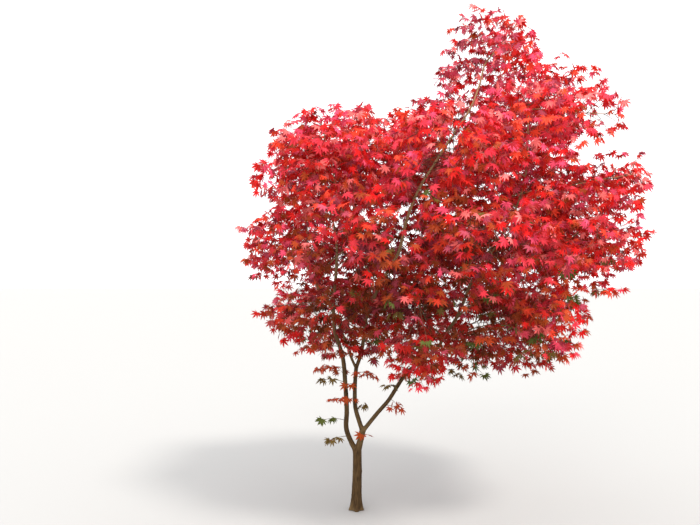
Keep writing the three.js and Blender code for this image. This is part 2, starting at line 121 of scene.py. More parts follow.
# the limbs, by the rule that shaped the solids
# Each one runs through a few points, from its first radius to its last.
mainLimbs = {
    "trunk": ([(0, 0, 0), (2, 0, 120), (6, 0, 280), (6, 1, 412)], 34, 29.5),
    "left_stem_lower": (
        [(-4, 8, 398), (-69, 13, 548), (-66, 20, 668), (-76, 30, 850), (-95, 42, 1045), (-151, 55, 1218)],
        17.5, 14),
    "left_stem_upper": (
        [(-151, 55, 1218), (-160, 70, 1400), (-143, 95, 1620), (-138, 120, 1810), (-165, 160, 2000),
         (-200, 195, 2105)], 13.5, 6),
    "centre_stem": ([(9, -3, 400), (26, -5, 470), (46, -7, 552)], 24, 20.5),
    "middle_stem": (
        [(40, -3, 545), (16, 2, 618), (-6, 6, 695), (-11, 8, 800), (-8, 6, 890), (-1, 4, 985)], 15.5, 13.5),
    "leader_lower": (
        [(0, 5, 980), (24, 8, 1045), (52, 11, 1185), (68, 15, 1320), (130, 25, 1478), (190, 33, 1592),
         (300, 40, 1780)], 13, 11.2),
    "middle_left_bough": (
        [(-3, -2, 974), (-34, -32, 1046), (-62, -62, 1130), (-98, -92, 1228), (-195, -112, 1430),
         (-300, -90, 1590)], 9.5, 5.5),
    "leader_upper": (
        [(300, 40, 1780), (352, 44, 2003), (432, 40, 2205), (538, 30, 2382), (668, 15, 2582), (790, 2, 2772),
         (850, 0, 2930), (872, 0, 3020)], 10.9, 5.4),
    "leader_left_branch": (
        [(172, 31, 1558), (82, -18, 1785), (22, -30, 1940), (-22, -34, 2135), (-12, -32, 2240)], 5.8, 4),
    "leader_front_branch": (
        [(166, 30, 1550), (78, -62, 1645), (2, -140, 1796), (-48, -200, 1928), (-105, -245, 2080)], 6.4, 4.2),
    "right_stem_lower": (
        [(50, -9, 548), (145, -18, 668), (221, -22, 756), (284, -26, 857), (345, -30, 945),
         (450, -36, 1032), (561, -42, 1121)], 14.5, 12),
    "right_stem_upper": (
        [(561, -42, 1121), (608, -43, 1212), (680, -45, 1317), (726, -46, 1420), (781, -46, 1556)],
        11.8, 9.5),
    "right_inner_bough": (
        [(779, -46, 1550), (826, -54, 1657), (901, -66, 1777), (985, -86, 1890), (1080, -112, 2080),
         (1133, -146, 2300), (1128, -225, 2655)], 7.8, 4.2),
    "right_outer_bough": (
        [(783, -44, 1548), (872, 2, 1663), (940, 45, 1772), (1088, 125, 1925), (1225, 215, 2075)], 7.2, 4.6),
    "right_side_branch": (
        [(676, -46, 1310), (752, -82, 1392), (826, -122, 1438), (900, -160, 1488), (1125, -245, 1600)],
        5.6, 4.2),
}
limbSteps = {"centre_stem": 3, "leader_upper": 8, "right_inner_bough": 7}
usualSteps = 5
rootFlare = {"added": 15, "height": 55, "ridges": 5, "depth": 0.16}

# Tiers of the crown: height, rise to the right, middle, ring, count, first angle, radius, thickness
tiers = {
    "low": (1360, -60, (430, 0), (674, 560), 6, 210, 530, 370),
    "middle": (1790, 10, (540, 0), (870, 720), 7, 180, 550, 450),
    "upper": (2235, -40, (590, 0), (850, 640), 6, 210, 560, 450),
    "high": (2600, 60, (1012, 0), (450, 340), 3, 180, 510, 430),
    "top": (3060, 0, (900, 0), (0, 0), 1, 0, 410, 430),
    "inner": (2420, 0, (110, 0), (0, 0), 1, 0, 470, 380),
    "hanging": (1010, 0, (390, -330), (0, 0), 1, 0, 215, 180),
}
carriers = {
    "middle_1": "middle_left_bough", "middle_4": "right_side_branch", "upper_1": "leader_front_branch",
    "upper_4": "right_outer_bough", "upper_6": "left_stem_upper", "high_2": "right_inner_bough",
    "top": "leader_upper", "inner": "leader_left_branch",
}
layerStretch = 1.65  # how much more they count, so that layers lie flat
massGap = 3          # between a mass and the plane half way to its neighbour
sampleSpacing = 8    # along a limb, between the points that tell how near it is
curveMarks = np.linspace(0, 1, 201)  # where the length of a curve is noted

boughRule = {
    "seed": 2024, "riseCost": 1.6,
    "radius": 4.2, "growth": 0.00525, "taper": 0.72, "steps": 3,
    "rise": 0.45, "tipInside": 0.62, "out": 0.24, "up": 0.2, "arriving": 0.3,
    "sway": (0.03, 0.1), "turn": 0.035, "tries": 60, "shortest": 120, "thickest": 0.8,
    "clearance": 9, "widths": 2.5, "margin": 25, "flattening": 0.5, "entryStep": 0.04, "ends": (0.1, 0.93),
}


def makeStream(seed):
    # a repeatable stream of numbers from 0 to 1, the same one that the solids were made with
    state = seed
    mask = 0xFFFFFFFF

    def following():
        nonlocal state
        state = (state + 0x6D2B79F5) & mask
        mixed = ((state ^ (state >> 15)) * (1 | state)) & mask
        mixed = ((mixed + (((mixed ^ (mixed >> 7)) * (61 | mixed)) & mask)) & mask) ^ mixed
        return (mixed ^ (mixed >> 14)) / 4294967296
    return following


def unit(vectors):
    # each vector divided by its length
    vectors = np.asarray(vectors, float)
    return vectors / np.maximum(np.linalg.norm(vectors, axis=-1, keepdims=True), 1e-12)


def turned(vectors, axes, angles):
    # each vector turned about its axis: its part along the axis stays, the rest swings round by the angle
    axes = np.broadcast_to(axes, vectors.shape)
    angles = np.asarray(angles, float)[..., None]
    along = axes * (vectors * axes).sum(-1, keepdims=True)
    return along + (vectors - along) * np.cos(angles) + np.cross(axes, vectors) * np.sin(angles)


def lengthsAlong(points):
    # the length of the way from the first point to each
    return np.concatenate([[0], np.cumsum(np.linalg.norm(np.diff(points, axis=0), axis=1))])


def gapsBetween(places, others):
    # a row for each place with its distances from all the others
    return np.linalg.norm(places[:, None] - others[None], axis=2)


def rowsOf(table, wanted):
    # the same rows of each array in a dictionary
    return {key: values[wanted] for key, values in table.items()}


def joined(tables):
    # dictionaries of arrays, one after another
    return {key: np.concatenate([table[key] for table in tables]) for key in tables[0]}


def curveThrough(points):
    # a smooth curve through the points, with knots spaced by the root of their distances, and its length at
    # each mark
    points = np.array(points, float)
    ends = np.vstack([2 * points[0] - points[1], points, 2 * points[-1] - points[-2]])
    curve = {"points": points, "ends": ends}
    curve["lengths"] = lengthsAlong(alongCurve(curve, curveMarks))
    curve["length"] = curve["lengths"][-1]
    return curve


def alongCurve(curve, shares):
    # between two knots: a cubic whose slopes at both come from the spacing of the four nearest knots
    count = len(curve["points"]) - 1
    place = np.clip(np.asarray(shares, float), 0, 1) * count
    first = np.minimum(place.astype(int), count - 1)
    t = (place - first)[..., None]
    p0, p1, p2, p3 = (curve["ends"][first + k] for k in range(4))
    pairs = ((p0, p1), (p1, p2), (p2, p3))
    d0, d1, d2 = (np.sqrt(np.linalg.norm(b - a, axis=-1, keepdims=True)) for a, b in pairs)
    s1 = ((p1 - p0) / d0 - (p2 - p0) / (d0 + d1) + (p2 - p1) / d1) * d1
    s2 = ((p2 - p1) / d1 - (p3 - p1) / (d1 + d2) + (p3 - p2) / d2) * d1
    return p1 + s1 * t + (-3 * p1 + 3 * p2 - 2 * s1 - s2) * t**2 + (2 * p1 - 2 * p2 + s1 + s2) * t**3


def evenly(curve, shares):
    # points at shares of the curve's length
    lengths = np.asarray(shares, float) * curve["length"]
    return alongCurve(curve, np.interp(lengths, curve["lengths"], curveMarks))


def tangentAt(curve, share):
    # the way from a point just before that share of the length to one just after it
    t = np.interp(share * curve["length"], curve["lengths"], curveMarks)
    a, b = alongCurve(curve, [max(t - 1e-4, 0), min(t + 1e-4, 1)])
    return unit(b - a)


def makeLimb(name, points, firstRadius, lastRadius, steps):
    return {"name": name, "curve": curveThrough(points), "radii": (firstRadius, lastRadius), "steps": steps}


def limbRadius(limb, shares):
    # the radius falls evenly from first to last; at the foot of the trunk a flare is added that fades upwards
    first, last = limb["radii"]
    flare = rootFlare["added"] * np.exp(-shares * limb["curve"]["length"] / rootFlare["height"])
    return first + (last - first) * shares + (flare if limb["name"] == "trunk" else 0)


def limbSamples(limb, number):
    # points down the middle of the solid limb, which runs straight from ring to ring
    count = math.ceil(limb["curve"]["length"] / sampleSpacing)
    shares = np.arange(count + 1) / count
    rings = evenly(limb["curve"], np.linspace(0, 1, limb["steps"] + 1))
    place = shares * limb["steps"]
    ring = np.minimum(place.astype(int), limb["steps"] - 1)
    middle = rings[ring] + (rings[ring + 1] - rings[ring]) * (place - ring)[:, None]
    return {
        "points": middle, "radii": limbRadius(limb, shares), "shares": shares,
        "limb": np.full(count + 1, number),
    }


def stretched(points):
    # heights count for more when masses share out the room
    return points * [1, 1, layerStretch]


def makeCells():
    # the space of each mass: a flattened ball, cut by the planes half way to its neighbours
    cells = []
    for tier, (height, rise, middle, ring, count, firstAngle, radius, thickness) in tiers.items():
        for i in range(count):
            angle = math.radians(firstAngle + i * 360 / count)
            centre = np.array([middle[0] + ring[0] * math.cos(angle), middle[1] + ring[1] * math.sin(angle),
                               height + rise * math.cos(angle)])
            label = f"{tier}_{i + 1}" if count > 1 else tier
            cells.append({"label": label, "tier": tier, "centre": centre, "radius": radius,
                          "axes": np.array([radius, radius, thickness], float), "limb": carriers.get(label)})
    for cell in cells:
        others = [other for other in cells if other is not cell]
        towards = np.array([stretched(other["centre"]) - stretched(cell["centre"]) for other in others])
        shares = np.array([cell["radius"] / (cell["radius"] + other["radius"]) for other in others])
        cell["normals"] = unit(towards)
        middles = stretched(cell["centre"]) + towards * shares[:, None] - cell["normals"] * massGap
        cell["offsets"] = (middles * cell["normals"]).sum(1)
    return cells


def insideCell(cell, points):
    # in the ball, where the squares of the shares of its half axes add up to less than 1, and short of all
    # planes
    ball = (((points - cell["centre"]) / cell["axes"])**2).sum(-1) < 1
    return ball & (stretched(points) @ cell["normals"].T < cell["offsets"]).all(-1)


def reachInside(cell, points, directions):
    # how far each point can go: to the ball's far wall, by the root of a quadratic, or to the first plane in
    # the way
    place, pace = (points - cell["centre"]) / cell["axes"], directions / cell["axes"]
    a, b, c = (pace**2).sum(-1), (place * pace).sum(-1), (place**2).sum(-1) - 1
    ball = (-b + np.sqrt(np.maximum(b * b - a * c, 0))) / a
    speed = stretched(directions) @ cell["normals"].T
    room = cell["offsets"] - stretched(points) @ cell["normals"].T
    planes = np.where(speed > 1e-6, room / np.maximum(speed, 1e-6), np.inf).min(-1)
    return np.maximum(np.minimum(ball, planes), 0)


def chooseOrigin(entry, samples, bareLimbs):
    # where a bough leaves the limbs: near its mass, and far enough below it to rise on its way out
    rule = boughRule
    across = np.linalg.norm(entry[:2] - samples["points"][:, :2], axis=1)
    shortfall = np.maximum(0, across * rule["rise"] - (entry[2] - samples["points"][:, 2]))
    cost = np.linalg.norm(samples["points"] - entry, axis=1) + rule["riseCost"] * shortfall
    usable = ~np.isin(samples["limb"], bareLimbs)
    usable &= (samples["shares"] >= rule["ends"][0]) & (samples["shares"] <= rule["ends"][1])
    return int(np.argmin(np.where(usable, cost, np.inf)))


def chooseEntry(cell, towards, turn):
    # the point inside the mass where its bough ends: towards the limbs, turned a little about the middle
    inward = (towards - cell["centre"]) * [1, 1, boughRule["flattening"]]
    inward = turned(unit(inward), upward, turn)
    inside = boughRule["tipInside"]
    while True:
        entry = cell["centre"] + inward * cell["radius"] * inside
        inside -= boughRule["entryStep"]
        if insideCell(cell, entry):
            return entry


def boughCurve(origin, entry, centre, sway):
    # a cubic pulled by two points between its ends: it leaves its limb outwards and upwards, and arrives
    # pointing at the middle of its mass
    rule = boughRule
    span = entry - origin
    length = np.linalg.norm(span)
    side = unit(np.cross(span, upward))
    out = unit(span * [1, 1, 0])
    first = origin + out * length * rule["out"] + upward * length * rule["up"] + side * sway * length
    last = entry - unit(centre - entry) * length * rule["arriving"] + side * sway * length * 0.5
    t = np.linspace(0, 1, 6)[:, None]
    return origin * (1 - t)**3 + first * 3 * t * (1 - t)**2 + last * 3 * t**2 * (1 - t) + entry * t**3


def makeBough(cell, samples, bareLimbs, stream):
    # tries ways in from either side in turn, farther round each time, until one is clear of every other limb
    rule = boughRule
    towards = samples["points"][chooseOrigin(cell["centre"], samples, bareLimbs)]
    for trial in range(rule["tries"]):
        sign = 1 if trial % 2 else -1
        entry = chooseEntry(cell, towards, sign * trial * rule["turn"])
        start = chooseOrigin(entry, samples, bareLimbs)
        origin, limbThere = samples["points"][start], samples["radii"][start]
        length = np.linalg.norm(entry - origin)
        base = min(rule["radius"] + length * rule["growth"], limbThere * rule["thickest"])
        ownGround = limbThere + base * rule["widths"] + rule["margin"]
        others = np.linalg.norm(samples["points"] - origin, axis=1) > ownGround
        low, high = rule["sway"]
        sway = sign * (low + (high - low) * stream())
        points = boughCurve(origin, entry, cell["centre"], sway)
        bough = makeLimb("bough_" + cell["label"], points, base, base * rule["taper"], rule["steps"])
        route = limbSamples(bough, 0)["points"]
        gaps = gapsBetween(samples["points"][others], route)
        room = (base + samples["radii"][others] + rule["clearance"])[:, None]
        if length > rule["shortest"] and (gaps > room).all():
            return bough
    raise RuntimeError("no clear way for the bough of " + cell["label"])


def makeLimbs(cells):
    # the main limbs, then a bough for each mass that none of them carries
    limbs = [makeLimb(name, points, first, last, limbSteps.get(name, usualSteps))
             for name, (points, first, last) in mainLimbs.items()]
    names = [limb["name"] for limb in limbs]
    bareLimbs = [names.index("trunk"), names.index("centre_stem")]
    samples = joined([limbSamples(limb, i) for i, limb in enumerate(limbs)])
    stream = makeStream(boughRule["seed"])
    for cell in cells:
        if not cell["limb"]:
            bough = makeBough(cell, samples, bareLimbs, stream)
            samples = joined([samples, limbSamples(bough, len(limbs))])
            limbs.append(bough)
            cell["limb"] = bough["name"]
    return {limb["name"]: limb for limb in limbs}, samples


cells = makeCells()
limbs, samples = makeLimbs(cells)
print("limbs worked out:", len(limbs), "and masses:", len(cells))


# meshes from arrays
def tubeFaces(rings, sides):
    # quads between neighbouring rings, and a fan of triangles to the middle point at both ends
    ring = np.arange(rings - 1)[:, None] * sides
    side = np.arange(sides)[None]
    after = (side + 1) % sides
    above = ring + sides
    quads = np.stack([ring + side, ring + after, above + after, above + side], -1).reshape(-1, 4)
    first, last = rings * sides, rings * sides + 1
    side, after = side[0], after[0]
    foot = np.stack([after, side, np.full(sides, first)], -1)
    tip = (rings - 1) * sides
    head = np.stack([tip + side, tip + after, np.full(sides, last)], -1)
    return quads, np.vstack([foot, head])


def makePiece(name, blocks, materials, smooth=True, place=None):
    # each block holds points in millimetres, copies x corners x 3, the tables of faces that all its copies
    # share, and the number of each copy's material
    points, loops, sizes, indices, offset = [], [], [], [], 0
    for corners, tables, index in blocks:
        count, each = corners.shape[:2]
        starts = (offset + np.arange(count) * each)[:, None, None]
        for faces in tables:
            loops.append((faces + starts).ravel())
            sizes.append(np.full(count * len(faces), faces.shape[1]))
            indices.append(np.repeat(np.broadcast_to(index, count), len(faces)))
        points.append(corners.reshape(-1, 3))
        offset += count * each
    points, loops, sizes, indices = (np.concatenate(parts) for parts in (points, loops, sizes, indices))
    mesh = bpy.data.meshes.new(name)
    mesh.vertices.add(len(points))
    mesh.vertices.foreach_set("co", (points * mm).astype(np.float32).ravel())
    mesh.loops.add(len(loops))
    mesh.loops.foreach_set("vertex_index", loops.astype(np.int32))
    mesh.polygons.add(len(sizes))
    mesh.polygons.foreach_set("loop_start", (np.cumsum(sizes) - sizes).astype(np.int32))
    mesh.polygons.foreach_set("use_smooth", np.full(len(sizes), smooth))
    for material in materials:
        mesh.materials.append(material)
    mesh.polygons.foreach_set("material_index", indices.astype(np.int32))
    if place is not None:
        mesh.attributes.new("grainPlace", "FLOAT_VECTOR", "POINT")
        mesh.attributes["grainPlace"].data.foreach_set("vector", (place * mm).astype(np.float32).ravel())
    mesh.update(calc_edges=True)
    piece = bpy.data.objects.new(name, mesh)
    bpy.context.scene.collection.objects.link(piece)
    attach(piece, "root")
    print(f"{name}: {(sizes - 2).sum()} triangles")
    return piece


# the bark: trunk, stems and boughs as limbs with relief
barkRelief = {
    "seed": 5,
    "pathSpacing": 3,       # between the points of a limb's path before it is evened out
    "softening": 5,         # how many of them it is evened out over
    "stemRings": 5.0,       # between the rings of the stems, and of the boughs
    "boughRings": 10.0,
    "trunkSides": 40,       # of the trunk and what runs on from it, the other stems and the boughs
    "stemSides": 26,
    "boughSides": 16,
    "flutes": {2: 0.020, 3: 0.016, 5: 0.012, 8: 0.010, 13: 0.008},  # how often round, and share of the radius
    "fluteWander": 150,     # length over which a flute wanders sideways
    "scarSpacing": 75,      # between the rings that old leaf pairs left
    "scarHeight": 0.035,    # share of the radius
    "scarWidth": 4.5,
    "knots": 9,             # scars of shed shoots on each metre
    "knotHeight": 0.10,
    "knotSize": (0.55, 0.3),  # along the limb in radii, and round it as the square of an angle
    "forkFillet": 0.95,     # share of the smaller limb's radius
}
stemChains = [
    ["trunk", "centre_stem", "right_stem_lower", "right_stem_upper", "right_inner_bough"],
    ["left_stem_lower", "left_stem_upper"],
    ["middle_stem", "leader_lower", "leader_upper"],
]
chainedNames = [name for chain in stemChains for name in chain]


def softened(values, spread):
    # a running mean with bell-shaped weights; both ends are carried on straight so that they stay in place
    reach = int(3 * spread)
    weights = np.exp(-0.5 * (np.arange(-reach, reach + 1) / spread)**2)
    weights /= weights.sum()
    before = 2 * values[0] - values[reach:0:-1]
    after = 2 * values[-1] - values[-2:-reach - 2:-1]
    longer = np.vstack([before, values, after])
    return np.stack([np.convolve(column, weights, "valid") for column in longer.T], 1)


def chainPath(names, lead=None):
    # the limbs one after another, each from the point nearest to the end of the one before, then evened out
    parts = []
    for name in names:
        limb = limbs[name]
        shares = np.linspace(0, 1, max(int(limb["curve"]["length"] / barkRelief["pathSpacing"]), 8))
        part = np.column_stack([evenly(limb["curve"], shares), limbRadius(limb, shares)])
        if parts:
            nearest = np.argmin(np.linalg.norm(part[:, :3] - parts[-1][-1, :3], axis=1))
            part = part[nearest + 1:]
        parts.append(part)
    if lead is not None:
        parts.append(lead)
    return softened(np.vstack(parts), barkRelief["softening"])


def evenSteps(path, spacing):
    # the path's points and radii again, at even steps along it
    lengths = lengthsAlong(path[:, :3])
    marks = np.linspace(0, lengths[-1], max(int(lengths[-1] / spacing), 6))
    return np.stack([np.interp(marks, lengths, column) for column in path.T], 1), marks


def pathFrames(points):
    # tangents, and two directions square to them, from the direction that the path turns about least
    tangents = unit(np.gradient(points, axis=0))
    reference = np.linalg.svd(tangents, full_matrices=False)[2][-1]
    across = unit(reference - tangents * (tangents @ reference)[:, None])
    return tangents, across, np.cross(tangents, across)


def barkTube(path, spacing, sides, rng, isTrunk=False):
    # radius = taper x (1 + wandering flutes + leaf scars + knots) round a path; ridges at the trunk's foot
    rule = barkRelief
    path, marks = evenSteps(path, spacing)
    tangents, across, over = pathFrames(path[:, :3])
    angles = np.linspace(0, 2 * np.pi, sides, endpoint=False)[None]
    along = marks[:, None]
    relief = np.zeros((len(marks), sides))

    def slowWave(slowest, fastest):
        # a sine along the limb, of a chance pace and start
        return np.sin(along / rule["fluteWander"] * rng.uniform(slowest, fastest) + rng.uniform(0, 6.3, 1))

    for often, depth in rule["flutes"].items():
        wander = slowWave(0.6, 1.6)
        strength = 0.6 + 0.4 * slowWave(0.8, 2)
        relief += depth * strength * np.cos(often * angles + rng.uniform(0, 6.3) + 1.6 * wander)
    scars = np.cumsum(rng.uniform(0.5, 1.5, int(marks[-1] / rule["scarSpacing"]) + 2) * rule["scarSpacing"])
    nearScar = np.abs(along - scars[None]).min(1, keepdims=True)
    relief += rule["scarHeight"] * np.exp(-(nearScar / rule["scarWidth"])**2)
    knotLength, knotRound = rule["knotSize"]
    for _ in range(int(marks[-1] * mm * rule["knots"])):
        place, turn = rng.uniform(0, marks[-1]), rng.uniform(0, 2 * np.pi)
        radius = np.interp(place, marks, path[:, 3])
        away = ((along - place) / (knotLength * radius))**2 + ((np.cos(angles - turn) - 1) * -2) / knotRound
        relief += rule["knotHeight"] * np.exp(-away) * rng.uniform(0.4, 1)
    outward = across[:, None] * np.cos(angles)[..., None] + over[:, None] * np.sin(angles)[..., None]
    if isTrunk:
        ridges = np.cos(rootFlare["ridges"] * np.arctan2(outward[..., 0], -outward[..., 1]))
        relief += rootFlare["depth"] * np.exp(-along / rootFlare["height"]) * ridges
    radius = path[:, 3:4] * (1 + relief)
    points = path[:, None, :3] + outward * radius[..., None]
    if isTrunk:
        points[0, :, 2] = 0
        points[..., 2] = np.maximum(points[..., 2], 0)
    start = rng.uniform(-500, 500, 3)
    plain = path[:, 3:4, None]
    place = np.concatenate([plain * np.cos(angles)[..., None], plain * np.sin(angles)[..., None],
                            np.broadcast_to(along[..., None], (*relief.shape, 1))], -1) + start
    return {"points": points, "outward": outward, "path": path, "place": place}


def fairFork(tube, other, fork, fillet):
    # where two limbs meet, both swell: by a quarter of the fillet x the square of 1 - (gap to the other /
    # fillet); only what is near the fork is worked out
    points = tube["points"].reshape(-1, 3)
    middle, radii = other["path"][:, :3], other["path"][:, 3]
    places = np.flatnonzero(np.linalg.norm(points - fork, axis=1) < 10 * fillet + 60)
    close = np.linalg.norm(middle - fork, axis=1) < 12 * fillet + 160
    gap = (gapsBetween(points[places], middle[close]) - radii[close]).min(1)
    bulge = fillet / 4 * np.clip(1 - np.abs(gap) / fillet, 0, 1)**2
    points[places] += tube["outward"].reshape(-1, 3)[places] * bulge[:, None]


def joinTubes(name, tubes, materials):
    # one mesh of several tubes, each closed by a fan at both ends
    blocks, places = [], []
    for tube in tubes:
        middles = tube["path"][[0, -1], :3].copy()
        middles[:, 2] = np.maximum(middles[:, 2], 0)
        points = np.vstack([tube["points"].reshape(-1, 3), middles])
        blocks.append((points[None], tubeFaces(*tube["points"].shape[:2]), 0))
        places.append(np.vstack([tube["place"].reshape(-1, 3), tube["place"][[0, -1]].mean(1)]))
    return makePiece(name, blocks, materials, place=np.vstack(places))


# the twigs and leaves: the source's rule again, carried to finer twigs within the same masses
def makeTufts(rule):
    # many flat waves in chance directions, added up: tufts where the sum is high, gaps where it is low
    rng = np.random.default_rng(rule["seed"])
    waves = rng.normal(0, 1, (rule["waves"], 3)) * rule["pace"] / [rule["across"], rule["across"], rule["up"]]
    return waves, rng.uniform(0, 2 * np.pi, rule["waves"])


foliage = {
    "seed": 41,
    "lead": 40,              # length of a mass's stem that carries on straight from its bough
    "stemReach": 0.86,       # share of the way to the far side of its space
    "stemTip": 0.5,          # radius at its end, as a share of its radius at the bough
    "stemTries": (80, 0.1, 0.014),  # ways on that are tried, how far the first strays, and each one more
    "stemShortest": 0.6,     # share of its mass's radius
    "stemClearance": 12,
    "stemPairs": 56,         # between the pairs of side twigs along it
    "stemRange": (0.12, 0.97),
    "sidePairs": 51,         # between the pairs of shoots along a side twig
    "sideRange": (0.24, 0.72),  # share of the twig before the first, and share of it that bears them
    "splay": 0.98,           # radians between a twig and what it grows from
    "splayRange": (0.85, 1.15),
    "roll": 0.35,            # radians that a pair is turned off its quarter turn
    "rootSpacing": 16,
    "sideReach": (0.74, 1.0),
    "sideShortest": 45,
    "shootLength": (34, 120),
    "shootShortest": 12,
    "leafRoom": 70,          # kept free beyond the end of a twig
    "limbClearance": 6,
    "bare": 76,              # a place farther than this from any tip is bare and gets a shoot of its own
    "fillLength": (25, 230),
    "fillArch": 0.12,
    "fillRounds": 3,
    "fillTries": 900,
    "edge": (0.93, 0.085),   # how far out tips go in the ball round a mass, and how much that wavers
    "edgeWaves": (88, 57, 1.7),  # lengths of the two waves that it wavers with, and start of the first
    "arch": (0.02, 0.09),    # lift of a twig's middle, as a share of its length
    "sag": 1.2,              # how far its end hangs at most, as a share of that lift
    "drawBack": (4, 0.85),   # how often one that ends outside is shortened, and to what share
    "pairLength": 62,        # a shoot longer than this has a pair of leaves half way along it
    "sideRadii": (2.3, 1.0),
    "shootRadii": (1.1, 0.7),
    "strayRadii": (2.2, 1.1),
}
tuftRule = {
    "seed": 6,
    "waves": 16,
    "pace": 1.6,
    "across": 240,           # size of the tufts and gaps
    "up": 100,
    # height, and how high the waves must be for leaves: more gaps low down and at the top
    "levels": [(900, -0.5), (1350, -0.05), (1800, -0.3), (2300, -0.8), (2800, -1.0), (3200, -0.9)],
    "deeper": [1, 1.6, 1],   # how much the openings are stretched in depth
    # middle, radius, and how much more open it is there
    "openings": [
        ((-60, -400, 1420), 520, 0.6), ((560, -60, 3180), 240, 1.9), ((320, -150, 2800), 200, 2.5),
        ((1450, -300, 2200), 420, 0.5), ((1720, -420, 2730), 330, 4.0), ((1700, -120, 2520), 240, 3.0),
        ((395, -330, 1010), 260, -1.5), ((-30, -260, 1130), 230, 1.1),
    ],
}
tufts = makeTufts(tuftRule)
# small shoots of their own low on the stems: share of the way along the limb, way they point, length, tint
strayShoots = {
    "centre_stem": [
        (0.85, (0.15, -1, 0.1), 62, "amber"),
    ],
    "left_stem_lower": [
        (0.14, (-1, -0.5, -0.15), 104, "olive"), (0.27, (-1, -0.4, 0.1), 150, "green"),
        (0.44, (-0.9, -0.6, 0.1), 88, "rust"), (0.58, (-1, -0.3, 0.15), 142, "olive"),
        (0.62, (-0.3, 1, 0.3), 96, "amber"), (0.70, (-1, -0.5, 0), 165, "rust"),
        (0.78, (-0.6, -0.8, 0.3), 118, "rust"), (0.83, (0.5, -1, -0.1), 84, "rust"),
        (0.87, (-1, -0.3, 0.2), 128, "rust"), (0.93, (-0.9, -0.7, -0.2), 150, "rust"),
    ],
    "middle_stem": [
        (0.32, (0.5, 0.9, 0.2), 84, "olive"), (0.5, (-0.3, -1, 0.2), 70, "amber"),
        (0.72, (-0.6, -0.9, 0.15), 78, "amber"), (0.84, (0.8, -0.7, 0.1), 150, "rust"),
        (0.9, (0.6, -0.9, 0.1), 104, "rust"),
    ],
    "leader_lower": [
        (0.1, (-0.2, -1, 0.1), 74, "amber"), (0.14, (0.9, -0.5, 0.15), 112, "rust"),
        (0.22, (0.9, -0.7, -0.05), 160, "rust"), (0.3, (-0.6, -1, -0.1), 96, "amber"),
    ],
    "right_stem_lower": [
        (0.3, (0.8, -0.6, -0.2), 88, "rust"), (0.36, (0.4, -1, -0.1), 72, "amber"),
        (0.47, (-0.5, -0.9, 0.35), 96, "olive"), (0.55, (0.2, 1, 0.2), 108, "rust"),
        (0.6, (-0.1, -1, 0.3), 84, "rust"), (0.68, (0.9, -0.6, -0.25), 170, "rust"),
        (0.74, (0.25, -0.8, 0.25), 96, "olive"), (0.82, (1, -0.3, -0.4), 230, "olive"),
        (0.9, (0.5, 0.8, -0.1), 120, "olive"), (0.95, (1, -0.4, -0.6), 270, "rust"),
    ],
    "right_stem_upper": [
        (0.1, (1, -0.2, -0.8), 330, "green"), (0.24, (1, 0.3, -0.9), 340, "olive"),
    ],
}
# their buds: share of the way along the shoot, radians from it, and the least length that bears them
strayBuds = [
    (1, 1.1, 0), (1, -1.1, 0), (1, 0, 0), (0.5, 1.2, 80), (0.5, -1.2, 80),
    (0.76, 1.0, 160), (0.76, -1.0, 160), (0.26, 1.3, 160), (0.26, -1.3, 160),
]
strayRule = {
    "arch": 0.12,            # lift of a shoot's middle, as a share of its length
    "start": 0.9,            # how far from the limb's middle line it starts, as a share of the limb's radius
    "turn": 0.3,             # how far a bud strays from its angle
    # in place of a mass: the middle of the stems, a ball that no leaf leaves, and how far off limbs matter
    "space": {"centre": np.array([200.0, 0, 800]), "axes": 3000.0, "radius": 600},
}
# limbs that show through the crown: how far round them leaves in front are missing, and how many of them
shownLimbs = {
    "leader_lower": (36, 0.40), "leader_upper": (60, 0.97), "left_stem_upper": (36, 0.7),
    "right_stem_upper": (40, 0.75), "right_inner_bough": (34, 0.65),
}
leafRule = {
    "length": (37, 56),
    "apart": 27,             # between the middles of two leaves, at least
    "limbClearance": 20,     # between the middle of a leaf and a limb
    "lowest": 40,            # height that no tip goes under
    "beyond": 1.04,          # square of how far out a tip may reach, as a share of the ball round its mass
    "hangingScale": 0.9,     # size of the leaves of the hanging mass
    "stalk": (18, 38),
    "flattening": (0.5, 0.3),  # of the way of a stalk, and of the leaf after it
    "stalkRise": (-0.3, 0.25),
    "stalkRadii": (0.5, 0.5),
    "stalkLift": 2,
    "pairTurn": (0.7, 1.5),  # radians between the leaves of a pair and their twig
    "droop": (0.15, 1.7),    # how far a leaf points down for each part that it points outwards
    "tilt": 1.0,
    "outline": {             # lobes: degrees from the middle one, and length as a share of the leaf's
        0: 1.0, 36: 0.94, 73: 0.80, 111: 0.58, 148: 0.34,
    },
    "notch": (0.41, 0.03),   # how far from the stalk the cuts between the lobes end, and their height
    "base": (0.35, 0.22, 0.02),  # beyond the last lobe: radians from it, share of its length, and height
    "wholeAngle": 120,       # lobes beyond it are left out of the simpler shapes
    "widest": 0.60,          # where a lobe is widest, and its half width there
    "halfWidth": 0.135,
    "plain": 0.6,            # lobes shorter than this share of the leaf are plain points
    "fold": 0.05,            # height of the lobe's edges over its rib
    "curl": 0.16,            # how far the tips bend down
    "shapes": (6, 4),        # how many shapes there are, and how many of them lack the lobes by the stalk
    "lobeWaver": (0.92, 1.06),
    "angleWaver": 0.05,
}


